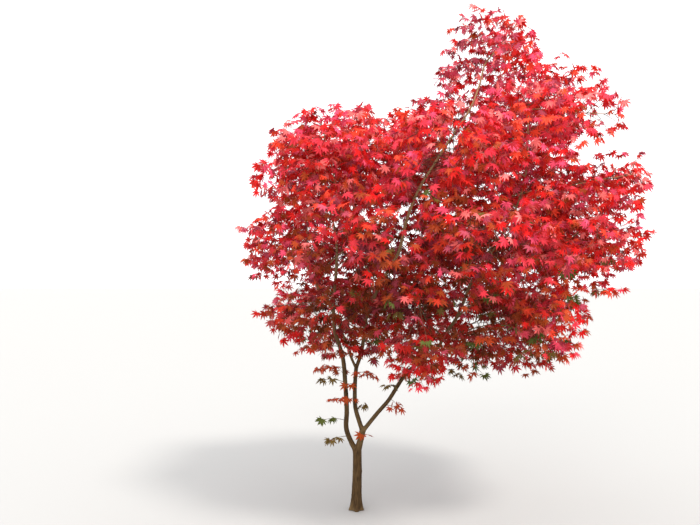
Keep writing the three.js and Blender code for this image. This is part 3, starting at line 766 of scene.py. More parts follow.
def makeStem(cell, limb, samples, rng):
    # leaves its bough's tip and runs on through the middle of its space, turned as little as keeps it clear
    rule = foliage
    tangent = tangentAt(limb["curve"], 1)
    start = evenly(limb["curve"], [1.0])[0]
    bend = start + tangent * rule["lead"]
    own = (samples["limb"] == list(limbs).index(limb["name"])) & (samples["shares"] > 0.9)
    others = samples["points"][~own]
    radii = samples["radii"][~own] + rule["stemClearance"]
    tries, first, more = rule["stemTries"]
    for trial in range(tries):
        spread = first + trial * more
        aim = unit(unit(cell["centre"] - start) + rng.uniform(-spread, spread, 3))
        reach = reachInside(cell, bend, aim) * rule["stemReach"]
        way = bend + aim * np.linspace(0, reach, 60)[:, None]
        isLong = reach > cell["radius"] * rule["stemShortest"]
        if isLong and (gapsBetween(others, way).min(1) > radii).all():
            return curveThrough([start, bend, (bend + bend + aim * reach) / 2, bend + aim * reach])
    raise RuntimeError("no clear way for the stem of " + cell["label"])


def growPairs(cell, origins, tangents, turns, rng):
    # opposite pairs: each pair a quarter turn round its twig from the last, both sides splayed from it
    rule = foliage
    level = unit(np.cross(tangents, upward))
    roll = turns * np.pi / 2 + rng.uniform(-rule["roll"], rule["roll"], len(origins))
    across = turned(level, tangents, roll)
    sign = np.array([1.0, -1.0])[:, None, None]
    splay = rule["splay"] * rng.uniform(*rule["splayRange"], (2, len(origins), 1))
    directions = tangents * np.cos(splay) + across * np.sin(splay) * sign
    roots = origins + tangents * sign * rule["rootSpacing"] / 2
    return roots.reshape(-1, 3), unit(directions.reshape(-1, 3))


def thinned(places, apart, rng):
    # which places stay so that no two are nearer than that: taken in random order, each new one against its
    # neighbours in a grid of cubes
    kept = np.zeros(len(places), bool)
    cubes = {}
    keys = np.floor(places / apart).astype(int)
    for i in rng.permutation(len(places)):
        x, y, z = keys[i]
        around = [j for a in (x - 1, x, x + 1) for b in (y - 1, y, y + 1) for c in (z - 1, z, z + 1)
                  for j in cubes.get((a, b, c), ())]
        if not around or (((places[around] - places[i])**2).sum(1) > apart**2).all():
            kept[i] = True
            cubes.setdefault((x, y, z), []).append(i)
    return kept


def isLeafy(places, slack=0):
    # where the sum of the waves, brought to one spread for any number of them, is over the level for that
    # height and the openings
    rule = tuftRule
    waves, starts = tufts
    height = np.cos(places @ waves.T + starts).sum(1) * math.sqrt(2 / len(starts))
    level = np.interp(places[:, 2], *zip(*rule["levels"]))
    for middle, radius, more in rule["openings"]:
        level += more * np.exp(-(np.linalg.norm((places - middle) / rule["deeper"], axis=1) / radius)**2)
    return height + slack > level


def withinEdge(cell, places, room=0):
    # inside the mass's own space, and inside its ragged outline: the ball's size wavers with the place itself
    usual, waver = foliage["edge"]
    long, short, start = foliage["edgeWaves"]
    waves = np.sin(places / long + start) * np.sin(places[:, [1, 2, 0]] / short)
    away = np.linalg.norm((places - cell["centre"]) / cell["axes"], axis=1) + room / cell["radius"]
    return insideCell(cell, places) & (away < usual + waver * waves.sum(1))


def arched(cell, roots, directions, lengths, rng):
    # the middle and end of a twig: the middle is lifted, the end hangs a little, and one that would leave its
    # mass is drawn back by steps
    lift = lengths[:, None] * rng.uniform(*foliage["arch"], (len(roots), 1))
    middles = roots + directions * lengths[:, None] * 0.5 + upward * lift
    hang = rng.uniform(0, foliage["sag"], (len(roots), 1))
    ends = roots + directions * lengths[:, None] - upward * lift * hang
    times, share = foliage["drawBack"]
    for _ in range(times):
        outside = ~withinEdge(cell, ends)
        ends[outside] = roots[outside] + (ends - roots)[outside] * share
        middles[outside] = roots[outside] + (middles - roots)[outside] * share
    return middles, ends


def alongArch(twigs, owner, t):
    # points at shares t of the owners: each a quadratic curve from root to end, pulled by its middle
    roots, middles, ends = (twigs[key][owner] for key in ("roots", "middles", "ends"))
    return roots * (1 - t)**2 + middles * 2 * t * (1 - t) + ends * t**2


def fillShoots(cell, twigs, tips, near, rng):
    # shoots to the places that are bare, each from the nearest twig; later ones also leave the new shoots
    rule = foliage
    t = np.array([0.3, 0.5, 0.7, 0.9, 1.0])[None, :, None]
    lines = [alongArch(twig, np.s_[:, None], t).reshape(-1, 3) for twig in twigs]
    nodes = np.vstack([*lines, evenly(cell["stem"], np.linspace(0.15, 1, 14))])
    shortest, longest = rule["fillLength"]
    made = []
    for _ in range(rule["fillRounds"]):
        places = cell["centre"] + rng.uniform(-1, 1, (rule["fillTries"], 3)) * cell["axes"]
        places = places[withinEdge(cell, places, rule["leafRoom"] * 0.5)]
        places = places[isLeafy(places)]
        places = places[gapsBetween(places, tips).min(1) > rule["bare"]]
        places = places[thinned(places, rule["bare"], rng)]
        gaps = gapsBetween(places, nodes)
        roots, reach = nodes[gaps.argmin(1)], gaps.min(1)
        fits = (reach > shortest) & (reach < longest)
        line = roots[:, None] + (places - roots)[:, None] * np.linspace(0.1, 1, 10)[:, None]
        limbGaps = np.linalg.norm(line[:, :, None] - near["points"], axis=3) - near["radii"]
        fits &= limbGaps.min((1, 2)) > rule["limbClearance"]
        if not fits.any():
            break
        roots, ends = roots[fits], places[fits]
        lift = reach[fits, None] * rng.uniform(0.0, rule["fillArch"], (len(ends), 1))
        middles = (roots + ends) / 2 + upward * lift
        made.append({"roots": roots, "middles": middles, "ends": ends})
        tips = np.vstack([tips, ends])
        nodes = np.vstack([nodes, ends, (roots + ends) / 2])
    return joined(made)


def growCell(cell, rng):
    # a stem, side twigs in pairs along it, shoots in pairs along those, then buds in pairs and at the ends
    rule = foliage
    limb = limbs[cell["limb"]]
    nearby = np.linalg.norm(samples["points"] - cell["centre"], axis=1) < cell["radius"] * 1.3
    near = rowsOf(samples, nearby)
    stem = cell["stem"] = makeStem(cell, limb, near, rng)

    pairs = max(int(stem["length"] / rule["stemPairs"]), 4)
    shares = np.linspace(*rule["stemRange"], pairs)
    tangents = np.array([tangentAt(stem, share) for share in shares])
    roots, directions = growPairs(cell, evenly(stem, shares), tangents, np.arange(pairs) % 2, rng)
    reach = reachInside(cell, roots, directions) - rule["leafRoom"]
    lengths = reach * rng.uniform(*rule["sideReach"], len(reach))
    long = lengths > rule["sideShortest"]
    roots, directions, lengths = roots[long], directions[long], lengths[long]
    middles, ends = arched(cell, roots, directions, lengths, rng)
    sides = {"roots": roots, "middles": middles, "ends": ends}

    # nodes along the side twigs, where the shoots leave them
    counts = np.maximum((lengths * 0.8 / rule["sidePairs"]).astype(int), 1)
    owner = np.repeat(np.arange(len(roots)), counts)
    order = np.arange(len(owner)) - np.repeat(np.cumsum(counts) - counts, counts)
    before, bearing = rule["sideRange"]
    t = (before + bearing * (order + rng.uniform(0.2, 0.8, len(owner))) / counts[owner])[:, None]
    places = alongArch(sides, owner, t)
    heading = unit((middles - roots)[owner] * (1 - t) + (ends - middles)[owner] * t)
    shootRoots, shootWays = growPairs(cell, places, heading, (order % 2) * 0.8, rng)
    t = np.tile(t[:, 0], 2)
    low, high = rule["shootLength"]
    wanted = low + (high - low) * (1.1 - t) * rng.uniform(0.5, 1.1, len(t))
    room = reachInside(cell, shootRoots, shootWays) - rule["leafRoom"] * 0.8
    fits = (room > rule["shootShortest"]) & isLeafy(shootRoots + shootWays * 60, 0.5)
    shootRoots, shootWays = shootRoots[fits], shootWays[fits]
    shootLengths = np.minimum(wanted, room)[fits]
    middles, ends = arched(cell, shootRoots, shootWays, shootLengths, rng)
    shoots = {"roots": shootRoots, "middles": middles, "ends": ends}

    fills = fillShoots(cell, [sides, shoots], np.vstack([ends, sides["ends"]]), near, rng)
    fillWays = unit(fills["ends"] - fills["middles"])
    shoots = joined([shoots, fills])
    shootWays = np.vstack([shootWays, fillWays])

    # buds: a pair and one more at every tip, and a pair half way along the longer shoots
    tipPlaces = np.vstack([shoots["ends"], sides["ends"], evenly(stem, [1.0])])
    tipWays = np.vstack([shootWays, directions, [tangentAt(stem, 1)]])
    spray = np.arange(len(tipPlaces))
    longer = np.linalg.norm(shoots["ends"] - shoots["roots"], axis=1) > rule["pairLength"]
    budPlaces = np.vstack([tipPlaces, shoots["middles"][longer]])
    budWays = np.vstack([tipWays, shootWays[longer]])
    spray = np.concatenate([spray, np.flatnonzero(longer)])
    isTip = np.arange(len(budPlaces)) < len(tipPlaces)
    leaves = {"nodes": [], "ways": [], "spray": []}
    for turn in (1.0, -1.0, 0.0):
        chosen = isTip | (turn != 0)
        amount = rng.uniform(*leafRule["pairTurn"], chosen.sum()) * turn
        amount += rng.uniform(-0.25, 0.25, chosen.sum())
        leaves["nodes"].append(budPlaces[chosen])
        leaves["ways"].append(turned(budWays[chosen], upward, amount))
        leaves["spray"].append(spray[chosen])
    leaves = {key: np.concatenate(values) for key, values in leaves.items()}
    return sides, shoots, leaves


def growStrays(rng):
    # the shoots on the stems, and their buds at shares of the low arch from root to end
    roots, ways, lengths = [], [], []
    for name, shoots in strayShoots.items():
        for share, way, length, _ in shoots:
            way = unit(way)
            away = limbRadius(limbs[name], np.array([share])) * strayRule["start"]
            roots.append(evenly(limbs[name]["curve"], [share])[0] + way * away)
            ways.append(way)
            lengths.append(length)
    roots, ways, lengths = np.array(roots), np.array(ways), np.array(lengths, float)
    ends = roots + ways * lengths[:, None]
    middles = (roots + ends) / 2 + upward * lengths[:, None] * strayRule["arch"]
    strays = {"roots": roots, "middles": middles, "ends": ends}
    share, turn, least = np.repeat(np.transpose(strayBuds), len(roots), axis=1)
    spray = np.tile(np.arange(len(roots)), len(strayBuds))
    turn = turn + rng.uniform(-strayRule["turn"], strayRule["turn"], len(spray))
    nodes = alongArch(strays, spray, share[:, None])
    buds = {"nodes": nodes, "ways": turned(ways[spray], upward, turn), "spray": spray}
    kept = lengths[spray] > least
    return strays, rowsOf(buds, kept)


def placeLeaves(cell, leaves, rng):
    # each leaf hangs a little from the end of its stalk, with its face to the sky
    rule = leafRule
    count = len(leaves["nodes"])
    stalkFlat, leafFlat = rule["flattening"]
    stalkWay = leaves["ways"] * [1, 1, stalkFlat]
    stalkWay[:, 2] += rng.uniform(*rule["stalkRise"], count)
    stalkWay = unit(stalkWay)
    roots = leaves["nodes"] + stalkWay * rng.uniform(*rule["stalk"], (count, 1))
    along = unit(stalkWay * [1, 1, leafFlat])
    along[:, 2] -= rng.uniform(*rule["droop"], count)
    along = unit(along)
    facing = np.column_stack([rng.uniform(-1, 1, (count, 2)) * rule["tilt"], np.ones(count)])
    side = unit(np.cross(along, facing))
    size = rng.uniform(*rule["length"], count) * cell.get("leafScale", 1)
    tips = roots + along * size[:, None]
    inside = ((tips - cell["centre"]) / cell["axes"])**2
    kept = (inside.sum(1) < rule["beyond"]) & (tips[:, 2] > rule["lowest"])
    middle = roots + along * size[:, None] * 0.5
    near = np.linalg.norm(samples["points"] - cell["centre"], axis=1) < cell["radius"] * 1.4
    gaps = gapsBetween(middle, samples["points"][near]) - samples["radii"][near]
    kept &= gaps.min(1) > rule["limbClearance"]
    kept &= ~hidesLimb(middle, rng)
    placed = {"nodes": leaves["nodes"], "spray": leaves["spray"], "roots": roots, "size": size}
    placed.update(along=along, side=side, face=np.cross(side, along))
    return rowsOf(placed, kept)


def hidesLimb(places, rng):
    # which leaves stand between the eye and a limb that shows: from there both lie in nearly one direction
    eye = np.array(view["eye"]) / mm
    depth = places[:, 1] - eye[1]
    seen = (places - eye)[:, [0, 2]] / depth[:, None]
    hides = np.zeros(len(places), bool)
    for name, (width, share) in shownLimbs.items():
        line = evenly(limbs[name]["curve"], np.linspace(0, 1, 60)) - eye
        gaps = gapsBetween(seen, line[:, [0, 2]] / line[:, 1:2])
        nearest = gaps.argmin(1)
        ahead = depth < line[nearest, 1] - leafRule["limbClearance"]
        hides |= ahead & (gaps.min(1) * depth < width) & (rng.uniform(0, 1, len(places)) < share)
    return hides


def leafShape(rng, small):
    # lobes about the stalk's end: each has its rib from the stalk to its tip, edges that bulge half way and a
    # cut on both sides; the edges stand over the ribs, and the tips bend down with the square of the distance
    rule = leafRule
    widest = rule["wholeAngle"] if small else 180
    half = {angle: length for angle, length in rule["outline"].items() if angle < widest}
    angles = np.radians([-angle for angle in reversed(half) if angle] + list(half))
    lengths = np.array([half[angle] for angle in reversed(half) if angle] + list(half.values()))
    lengths = lengths * rng.uniform(*rule["lobeWaver"], len(lengths))
    angles = angles + rng.uniform(-rule["angleWaver"], rule["angleWaver"], len(angles))
    between = (angles[1:] + angles[:-1]) / 2
    notch, notchHeight = rule["notch"]
    depth = notch * np.minimum(lengths[1:], lengths[:-1]) ** 0.7
    beyond, share, baseHeight = rule["base"]
    around = [[angles[0] - beyond, share * lengths[0], baseHeight]]
    for i, (angle, length) in enumerate(zip(angles, lengths)):
        swing = math.atan2(rule["halfWidth"] * length**0.5, rule["widest"])
        out = rule["widest"] * length
        bulge = [out, rule["fold"]] if length > rule["plain"] else None
        around += [[angle - swing, *bulge]] if bulge else []
        around.append([angle, length, 0])
        around += [[angle + swing, *bulge]] if bulge else []
        if i < len(between):
            around.append([between[i], depth[i], notchHeight])
    around.append([angles[-1] + beyond, share * lengths[-1], baseHeight])
    around = np.array(around)
    radius = around[:, 1]
    height = around[:, 2] - rule["curl"] * radius**2
    rim = np.column_stack([np.sin(around[:, 0]) * radius, np.cos(around[:, 0]) * radius, height])
    points = np.vstack([[0, 0, 0], rim])
    first = np.arange(1, len(rim))
    return points, np.column_stack([np.zeros(len(first), int), first + 1, first])


def joinLeaves(name, leaves, tints, materials, rng):
    # every leaf is one of a few shapes, set down by its own three directions and its size
    number, small = leafRule["shapes"]
    shapes = [leafShape(rng, i < small) for i in range(number)]
    kind = rng.integers(0, number, len(tints))
    blocks = []
    for i, (shape, faces) in enumerate(shapes):
        of = kind == i
        axes = np.stack([leaves[key][of] for key in ("side", "along", "face")], 1)
        placed = leaves["roots"][of][:, None] + (shape @ axes) * leaves["size"][of][:, None, None]
        blocks.append((placed, [faces], tints[of]))
    return makePiece(name, blocks, materials, smooth=False)


def joinTwigs(name, groups, materials):
    # round twigs: points along a low arch, each with a ring of corners square to the way from root to end
    blocks = []
    for twigs, radii, sides, rings, closed, index in groups:
        t = np.linspace(0, 1, rings)[None, :, None]
        line = alongArch(twigs, np.s_[:, None], t)
        way = unit(twigs["ends"] - twigs["roots"])
        across = unit(np.cross(way, np.where(np.abs(way[:, 2:]) < 0.9, upward, [1.0, 0, 0])))
        over = np.cross(way, across)
        angles = np.linspace(0, 2 * np.pi, sides, endpoint=False)[:, None]
        outward = across[:, None, None] * np.cos(angles) + over[:, None, None] * np.sin(angles)
        rim = line[:, :, None] + outward * (radii[0] + (radii[1] - radii[0]) * t[..., None])
        corners = np.concatenate([rim.reshape(len(rim), -1, 3), line[:, [0, -1]]], 1)
        quads, caps = tubeFaces(rings, sides)
        blocks.append((corners, (quads, caps if closed else caps[:0]), index))
    return makePiece(name, blocks, materials)


# Autumn tints: the red of each kind in steps from painted shade to painted light, and its green and its blue as shares
# of the red, at the shaded end and at the lit end; for most kinds the lit steps are paler, as a painted sheen
tintKindsByPaintedLight = {
    "deep": ([0.12, 0.20, 0.30, 0.41, 0.52, 0.62], (0.042, 0.018), (0.020, 0.018)),
    "crimson": ([0.12, 0.21, 0.33, 0.46, 0.60, 0.74], (0.054, 0.056), (0.046, 0.092)),
    "rose": ([0.12, 0.21, 0.32, 0.45, 0.59, 0.74], (0.062, 0.094), (0.086, 0.190)),
    "scarlet": ([0.13, 0.23, 0.35, 0.49, 0.64, 0.79], (0.056, 0.076), (0.016, 0.036)),
    "pink": ([0.18, 0.30, 0.43, 0.57, 0.71, 0.85], (0.096, 0.215), (0.084, 0.205)),
    "mauve": ([0.08, 0.13, 0.20, 0.29, 0.39, 0.50], (0.090, 0.150), (0.120, 0.240)),
    "brown": ([0.08, 0.13, 0.20, 0.28, 0.38, 0.48], (0.170, 0.130), (0.030, 0.040)),
}
# how many steps of painted light and shade each kind has
paintedLightSteps = 6
# amber is kept dark, as painted shade, since its shoots hang under the crown
oddTints = {
    "amber": (0.29, 0.043, 0.007), "rust": (0.36, 0.045, 0.012), "olive": (0.13, 0.080, 0.018),
    "green": (0.080, 0.095, 0.020),
}
stalkTints = {
    "Red": (0.42, 0.035, 0.03), "Dark": (0.16, 0.015, 0.02), "Pink": (0.55, 0.13, 0.12),
    "Tan": (0.30, 0.10, 0.05),
}
leafGloss = (0.42, 0.09)         # roughness and specular of every leaf
stalkRoughness = 0.5
tintAndPaintedLightRule = {
    "seed": 8,
    "middle": (560, 0, 1850),    # of the crown
    "half": (1380, 1240, 1560),
    # painted light and shade: leaves higher up and farther out get lighter tints, as if lit, and those low and inside
    # darker ones, as if shaded
    "light": (0.47, 0.50, 0.12),  # of every leaf, added up to the top, added out to the edge
    "spread": 0.10,              # how far a spray's tint strays from the one for its place
    "leafSpread": 0.10,
    "shares": {
        "deep": 0.32, "crimson": 0.25, "rose": 0.11, "scarlet": 0.12, "pink": 0.13, "mauve": 0.05,
        "brown": 0.02,
    },
    "ownWay": 0.40,              # share of the leaves that don't follow their spray
    "orange": (0.010, 0.45),     # share of the sprays that are amber or rust, and how many of those are amber
    "green": (0.004, 0.5),       # the same for olive and green
    # places where the tint is another: middle, radius, and what is added there to the light or to a share; what is
    # added to the light is painted light, and what is taken from it painted shade
    "patches": [
        ((600, -110, 3120), 310, {"light": -0.44, "mauve": 2.0, "rose": 0.6}),
        ((-40, -560, 1400), 480, {"light": -0.38, "mauve": 0.12, "brown": 1.2, "green": 0.02}),
        ((180, -700, 1650), 300, {"light": -0.14, "mauve": 0.5}),
        ((680, -650, 1400), 400, {"light": -0.28, "brown": 0.6, "orange": 0.08, "green": 0.03}),
        ((600, 100, 1180), 620, {"light": -0.06, "brown": 0.4, "green": 0.02}),
        ((140, -520, 2340), 360, {"light": 0.20}),
        ((375, -370, 1035), 235, {"light": 0.50, "deep": 4.0, "crimson": 1.0}),
        ((590, -900, 2050), 190, {"light": -0.08, "brown": 1.0, "green": 0.14}),
        ((320, -700, 1900), 220, {"light": 0.13}),
        ((1080, -650, 1150), 280, {"light": -0.10, "brown": 0.5, "orange": 0.04, "green": 0.30}),
        ((1400, -450, 1330), 240, {"light": 0.34, "orange": 0.10}),
        ((-280, -680, 2400), 280, {"light": -0.22}),
        ((-340, -520, 1330), 220, {"light": -0.10, "brown": 0.3}),
        ((690, -660, 1180), 250, {"light": -0.10, "brown": 0.5}),
        ((1200, -580, 1380), 240, {"light": 0.14}),
    ],
}


def makeLeafLooksInPaintedLight():
    # the kinds in steps from painted shade to painted light, then the odd tints; shares of green and blue change evenly
    # from step to step
    tints = {}
    for kind, (reds, greens, blues) in tintKindsByPaintedLight.items():
        for i, red in enumerate(reds):
            lit = i / (paintedLightSteps - 1)
            green, blue = (shade + (light - shade) * lit for shade, light in (greens, blues))
            tints[f"{kind}{i + 1}"] = (red, red * green, red * blue)
    tints.update(oddTints)
    return [plainMaterial("leaf" + name.title(), tint, *leafGloss) for name, tint in tints.items()]


def dealTintsAndPaintedLight(places, spray, rng):
    # light = a base + a share of the height + a share of the distance from the crown's middle + what patches add, which
    # is painted light and shade: leaves high and outside lighter, low and inside darker; each spray strays from it by
    # chance, and so does each leaf
    rule = tintAndPaintedLightRule
    away = (places - rule["middle"]) / rule["half"]
    base, up, out = rule["light"]
    light = base + up * (away[:, 2] + 1) / 2 + out * (np.clip(np.linalg.norm(away, axis=1), 0, 1)**1.6 - 0.5)
    shares = {kind: np.full(len(light), share) for kind, share in rule["shares"].items()}
    odds = {kind: np.full(len(light), rule[kind][0]) for kind in ("orange", "green")}
    for middle, radius, added in rule["patches"]:
        nearness = np.exp(-(np.linalg.norm(places - middle, axis=1) / radius)**2)
        for key, amount in added.items():
            target = light if key == "light" else shares[key] if key in shares else odds[key]
            target += amount * nearness
    sprays = spray.max() + 1
    ofSpray = rng.normal(0, rule["spread"], sprays)[spray]
    light += ofSpray + rng.normal(0, rule["leafSpread"], len(light))
    # the step of painted light or shade that each leaf's tint is taken from
    level = np.clip((light * paintedLightSteps).astype(int), 0, paintedLightSteps - 1)

    # the kind: a chance number for each spray, set against the shares laid end to end
    shares = np.column_stack([shares[kind] for kind in tintKindsByPaintedLight])
    chance = rng.uniform(0, 1, sprays)[spray]
    own = rng.uniform(0, 1, len(light)) < rule["ownWay"]
    chance[own] = rng.uniform(0, 1, own.sum())
    kind = (chance[:, None] * shares.sum(1, keepdims=True) > shares.cumsum(1)).sum(1)
    index = kind * paintedLightSteps + level

    # the odd tints: amber and rust for sprays with the lowest numbers, olive and green for the highest
    odd, pick = (rng.uniform(0, 1, sprays)[spray] for _ in range(2))
    first = len(tintKindsByPaintedLight) * paintedLightSteps
    index = np.where(odd < odds["orange"], first + (pick > rule["orange"][1]), index)
    return np.where(odd > 1 - odds["green"], first + 2 + (pick > rule["green"][1]), index)


def growFoliage():
    # all masses one by one, then the shoots on the stems; of leaves that crowd each other some are left out
    rng = np.random.default_rng(foliage["seed"])
    grown = {"sides": [], "shoots": [], "strays": [], "leaves": []}
    sprayOffset = 0
    for cell in cells:
        cell["leafScale"] = leafRule["hangingScale"] if cell["tier"] == "hanging" else 1
        sides, shoots, buds = growCell(cell, rng)
        leaves = placeLeaves(cell, buds, rng)
        leaves["spray"] = leaves["spray"] + sprayOffset
        leaves["tier"] = np.full(len(leaves["size"]), list(tiers).index(cell["tier"]))
        leaves["tint"] = np.full(len(leaves["size"]), -1)
        sprayOffset = leaves["spray"].max() + 1
        grown["sides"].append(sides)
        grown["shoots"].append(shoots)
        grown["leaves"].append(leaves)
    strays, buds = growStrays(rng)
    leaves = placeLeaves(strayRule["space"], buds, rng)
    oddTint = [list(oddTints).index(shoot[-1]) for shoots in strayShoots.values() for shoot in shoots]
    leaves["tint"] = len(tintKindsByPaintedLight) * paintedLightSteps + np.array(oddTint)[leaves["spray"]]
    leaves["spray"] = leaves["spray"] + sprayOffset
    leaves["tier"] = np.zeros(len(leaves["size"]), int)
    grown["strays"].append(strays)
    grown["leaves"].append(leaves)
    grown = {kind: joined(parts) for kind, parts in grown.items()}
    leaves = grown["leaves"]
    middles = leaves["roots"] + leaves["along"] * leaves["size"][:, None] * 0.5
    kept = thinned(middles, leafRule["apart"], rng)
    print("leaves before thinning", len(kept))
    grown["leaves"] = rowsOf(leaves, kept)
    return grown


grown = growFoliage()
print("side twigs", len(grown["sides"]["roots"]), "shoots", len(grown["shoots"]["roots"]),
      "leaves", len(grown["leaves"]["size"]))


def makeLimbTubes():
    # a tube for each chain of stems and for each bough, run on by the stem of its mass and faired at its fork
    rule = barkRelief
    rng = np.random.default_rng(rule["seed"])
    leads = {}
    for cell in cells:
        stem = cell["stem"]
        shares = np.linspace(0, 1, int(stem["length"] / rule["pathSpacing"]))[1:]
        first = limbs[cell["limb"]]["radii"][1]
        radii = first * (1 + (foliage["stemTip"] - 1) * shares)
        leads[cell["limb"]] = np.column_stack([evenly(stem, shares), radii])
    chains = stemChains + [[name] for name in limbs if name not in chainedNames]
    tubes = {}
    for i, chain in enumerate(chains):
        path = chainPath(chain, leads.get(chain[-1]))
        isStem = i < len(stemChains)
        spacing = rule["stemRings"] if isStem else rule["boughRings"]
        sides = rule["trunkSides"] if i == 0 else rule["stemSides"] if isStem else rule["boughSides"]
        tubes[chain[0]] = barkTube(path, spacing, sides, rng, isTrunk=chain[0] == "trunk")
    names = list(tubes)
    for name in names[1:]:
        start = tubes[name]["path"][0, :3]
        gaps = {other: np.linalg.norm(tubes[other]["path"][:, :3] - start, axis=1).min()
                for other in names if other != name}
        parent = min(gaps, key=gaps.get)
        fillet = rule["forkFillet"] * tubes[name]["path"][:20, 3].mean()
        fairFork(tubes[name], tubes[parent], start, fillet)
        fairFork(tubes[parent], tubes[name], start, fillet)
    tubes = list(tubes.values())
    return tubes[:len(stemChains)], tubes[len(stemChains):]


# the young colour is the pale tone of the upper limbs: partly their paler young bark, partly painted light
barkColours = {
    "bark": {"Dark": (0.026, 0.014, 0.005), "Middle": (0.078, 0.042, 0.014), "Pale": (0.145, 0.092, 0.038),
             "YoungAndLit": (0.43, 0.27, 0.135)},
    "twigBark": {"Dark": (0.035, 0.016, 0.010), "Middle": (0.10, 0.050, 0.026), "Pale": (0.17, 0.12, 0.07),
                 "YoungAndLit": (0.17, 0.12, 0.07)},
}
barkPattern = {
    "Streak Scale": 170.0, "Patch Scale": 16.0, "bump": 0.45, "depth": 0.0012,
    # how much each noise is stretched across and along, its scale and its detail
    "streaks": ((1, 1, 0.13), "Streak Scale", 5), "patches": ((1, 1, 0.45), "Patch Scale", 3),
    "grain": ((3.5, 3.5, 2.2), "Streak Scale", 2),
    # the range of a noise that is spread, and what it is spread to where that isn't 0 to 1
    "streakEdges": (0.34, 0.66), "patchEdges": (0.46, 0.74, 0, 0.75), "roughness": (0.3, 0.7, 0.88, 0.62),
    "grainHeight": 0.35,
    "sheen": (0.8, 0.14),        # roughness and specular
    "youthAndLight": (0.9, 2.3, 0.85),   # heights between which the limbs turn paler, and how far: partly young bark, partly painted light on the upper limbs
}


def addNode(tree, kind, inputs, **settings):
    # what an input is given is a value, or an output to be linked to it
    node = tree.nodes.new("ShaderNode" + kind)
    for name, setting in settings.items():
        setattr(node, name, setting)
    for key, given in inputs.items():
        if isinstance(given, bpy.types.NodeSocket):
            tree.links.new(given, node.inputs[key])
        else:
            node.inputs[key].default_value = given
    return node


def makeBarkGroup():
    # streaks that run along the limb, from dark to middle, and pale patches over them; height = streaks + a
    # share of a fine grain
    group = bpy.data.node_groups.new("barkPattern", "ShaderNodeTree")
    sockets = [("INPUT", "Vector", ("Place",)), ("INPUT", "Color", ("Dark", "Middle", "Pale", "YoungAndLit")),
               ("INPUT", "Float", ("Youth", "Streak Scale", "Patch Scale")), ("OUTPUT", "Color", ("Colour",)),
               ("OUTPUT", "Float", ("Roughness", "Height"))]
    for way, kind, names in sockets:
        for name in names:
            group.interface.new_socket(name, in_out=way, socket_type="NodeSocket" + kind)
    given = group.nodes.new("NodeGroupInput").outputs
    made = group.nodes.new("NodeGroupOutput").inputs

    def noise(stretch, scale, detail):
        place = addNode(group, "VectorMath", {0: given["Place"], 1: stretch}, operation="MULTIPLY")
        inputs = {"Vector": place.outputs[0], "Scale": given[scale], "Detail": detail}
        return addNode(group, "TexNoise", inputs).outputs["Fac"]

    def spread(value, low, high, least=0.0, most=1.0):
        inputs = {"Value": value, "From Min": low, "From Max": high, "To Min": least, "To Max": most}
        return addNode(group, "MapRange", inputs).outputs["Result"]

    def mixed(share, first, second):
        return addNode(group, "Mix", {0: share, 6: first, 7: second}, data_type="RGBA").outputs[2]

    rule = barkPattern
    streaks, patches, grain = (noise(*rule[key]) for key in ("streaks", "patches", "grain"))
    base = mixed(spread(streaks, *rule["streakEdges"]), given["Dark"], given["Middle"])
    old = mixed(spread(patches, *rule["patchEdges"]), base, given["Pale"])
    inputs = {0: grain, 1: rule["grainHeight"], 2: streaks}
    height = addNode(group, "Math", inputs, operation="MULTIPLY_ADD").outputs[0]
    # over it all, by the share that grows with height, the pale young colour: young bark and painted light on the upper
    # limbs
    group.links.new(mixed(given["Youth"], old, given["YoungAndLit"]), made["Colour"])
    group.links.new(spread(streaks, *rule["roughness"]), made["Roughness"])
    group.links.new(height, made["Height"])
    return group


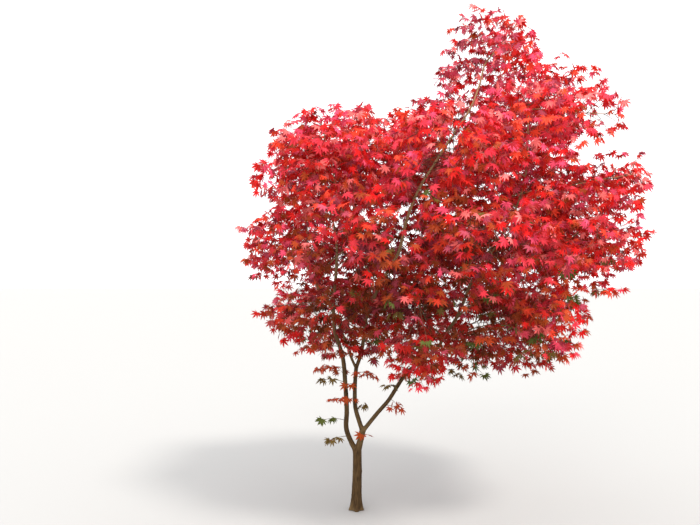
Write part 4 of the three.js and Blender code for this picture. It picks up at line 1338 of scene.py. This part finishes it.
def barkMaterial(name, group, fromAttribute):
    # limbs use their own unrolled place, so that streaks follow every bend, and turn paler with height, partly as young
    # bark and partly as painted light on the upper limbs; twigs use the object's place
    rule = barkPattern
    material = plainMaterial(name, barkColours[name]["Middle"], *rule["sheen"])
    tree = material.node_tree
    shader = tree.nodes["Principled BSDF"].inputs
    place = addNode(tree, "TexCoord", {}).outputs["Object"]
    inputs = {key: (*colour, 1) for key, colour in barkColours[name].items()}
    inputs.update({key: rule[key] for key in ("Streak Scale", "Patch Scale")}, Place=place)
    if fromAttribute:
        low, high, most = rule["youthAndLight"]
        height = addNode(tree, "SeparateXYZ", {0: place}).outputs["Z"]
        span = {"Value": height, "From Min": low, "From Max": high, "To Max": most}
        youthAndLight = addNode(tree, "MapRange", span)
        grainPlace = addNode(tree, "Attribute", {}, attribute_name="grainPlace")
        inputs.update(Youth=youthAndLight.outputs["Result"], Place=grainPlace.outputs["Vector"])
    pattern = addNode(tree, "Group", inputs, node_tree=group).outputs
    inputs = {"Strength": rule["bump"], "Distance": rule["depth"], "Height": pattern["Height"]}
    bump = addNode(tree, "Bump", inputs)
    tree.links.new(bump.outputs["Normal"], shader["Normal"])
    tree.links.new(pattern["Colour"], shader["Base Color"])
    tree.links.new(pattern["Roughness"], shader["Roughness"])
    return material


barkGroup = makeBarkGroup()
barkLook = barkMaterial("bark", barkGroup, True)
twigLook = barkMaterial("twigBark", barkGroup, False)
stalkLooks = [plainMaterial("leafStalk" + name, tint, stalkRoughness) for name, tint in stalkTints.items()]
leafLooksInPaintedLight = makeLeafLooksInPaintedLight()
print("looks of bark and twigs made, and of leaves:", len(leafLooksInPaintedLight))

stems, boughs = makeLimbTubes()
trunkPiece = joinTubes("trunk_and_stems", stems, [barkLook])
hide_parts(*chainedNames)
boughPiece = joinTubes("boughs", boughs, [barkLook])
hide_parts(*[name for name in limbs if name not in chainedNames])

leaves, sides, shoots, strays = (grown[kind] for kind in ("leaves", "sides", "shoots", "strays"))
# each kind of twig: its radii, sides, rings, whether its ends are closed, and its looks by number
twigPiece = joinTwigs("twigs", [
    (sides, foliage["sideRadii"], 6, 5, True, 0),
    (shoots, foliage["shootRadii"], 4, 4, False, 0),
    (strays, foliage["strayRadii"], 5, 5, False, 0),
], [twigLook])
stalkMiddles = (leaves["nodes"] + leaves["roots"]) / 2 + upward * leafRule["stalkLift"]
stalks = {"roots": leaves["nodes"], "middles": stalkMiddles, "ends": leaves["roots"]}
stalkPiece = joinTwigs("leaf_stalks", [
    (stalks, leafRule["stalkRadii"], 3, 2, False, leaves["spray"] % len(stalkLooks)),
], stalkLooks)

# the leaves' tints, in steps of painted light and shade, and the fixed tints of the shoots on the stems
rng = np.random.default_rng(tintAndPaintedLightRule["seed"])
leafTintsWithPaintedLight = np.where(leaves["tint"] < 0, dealTintsAndPaintedLight(leaves["roots"], leaves["spray"], rng), leaves["tint"])
leafPieces = {
    "leaves_low": ("low", "hanging"), "leaves_middle": ("middle",), "leaves_upper": ("upper", "inner"),
    "leaves_high": ("high", "top"),
}
for name, tierNames in leafPieces.items():
    wanted = np.isin(leaves["tier"], [list(tiers).index(tier) for tier in tierNames])
    piece = joinLeaves(name, rowsOf(leaves, wanted), leafTintsWithPaintedLight[wanted], leafLooksInPaintedLight, rng)
    nodes = ["foliage_" + cell["label"] for cell in cells if cell["tier"] in tierNames]
    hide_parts(*nodes)
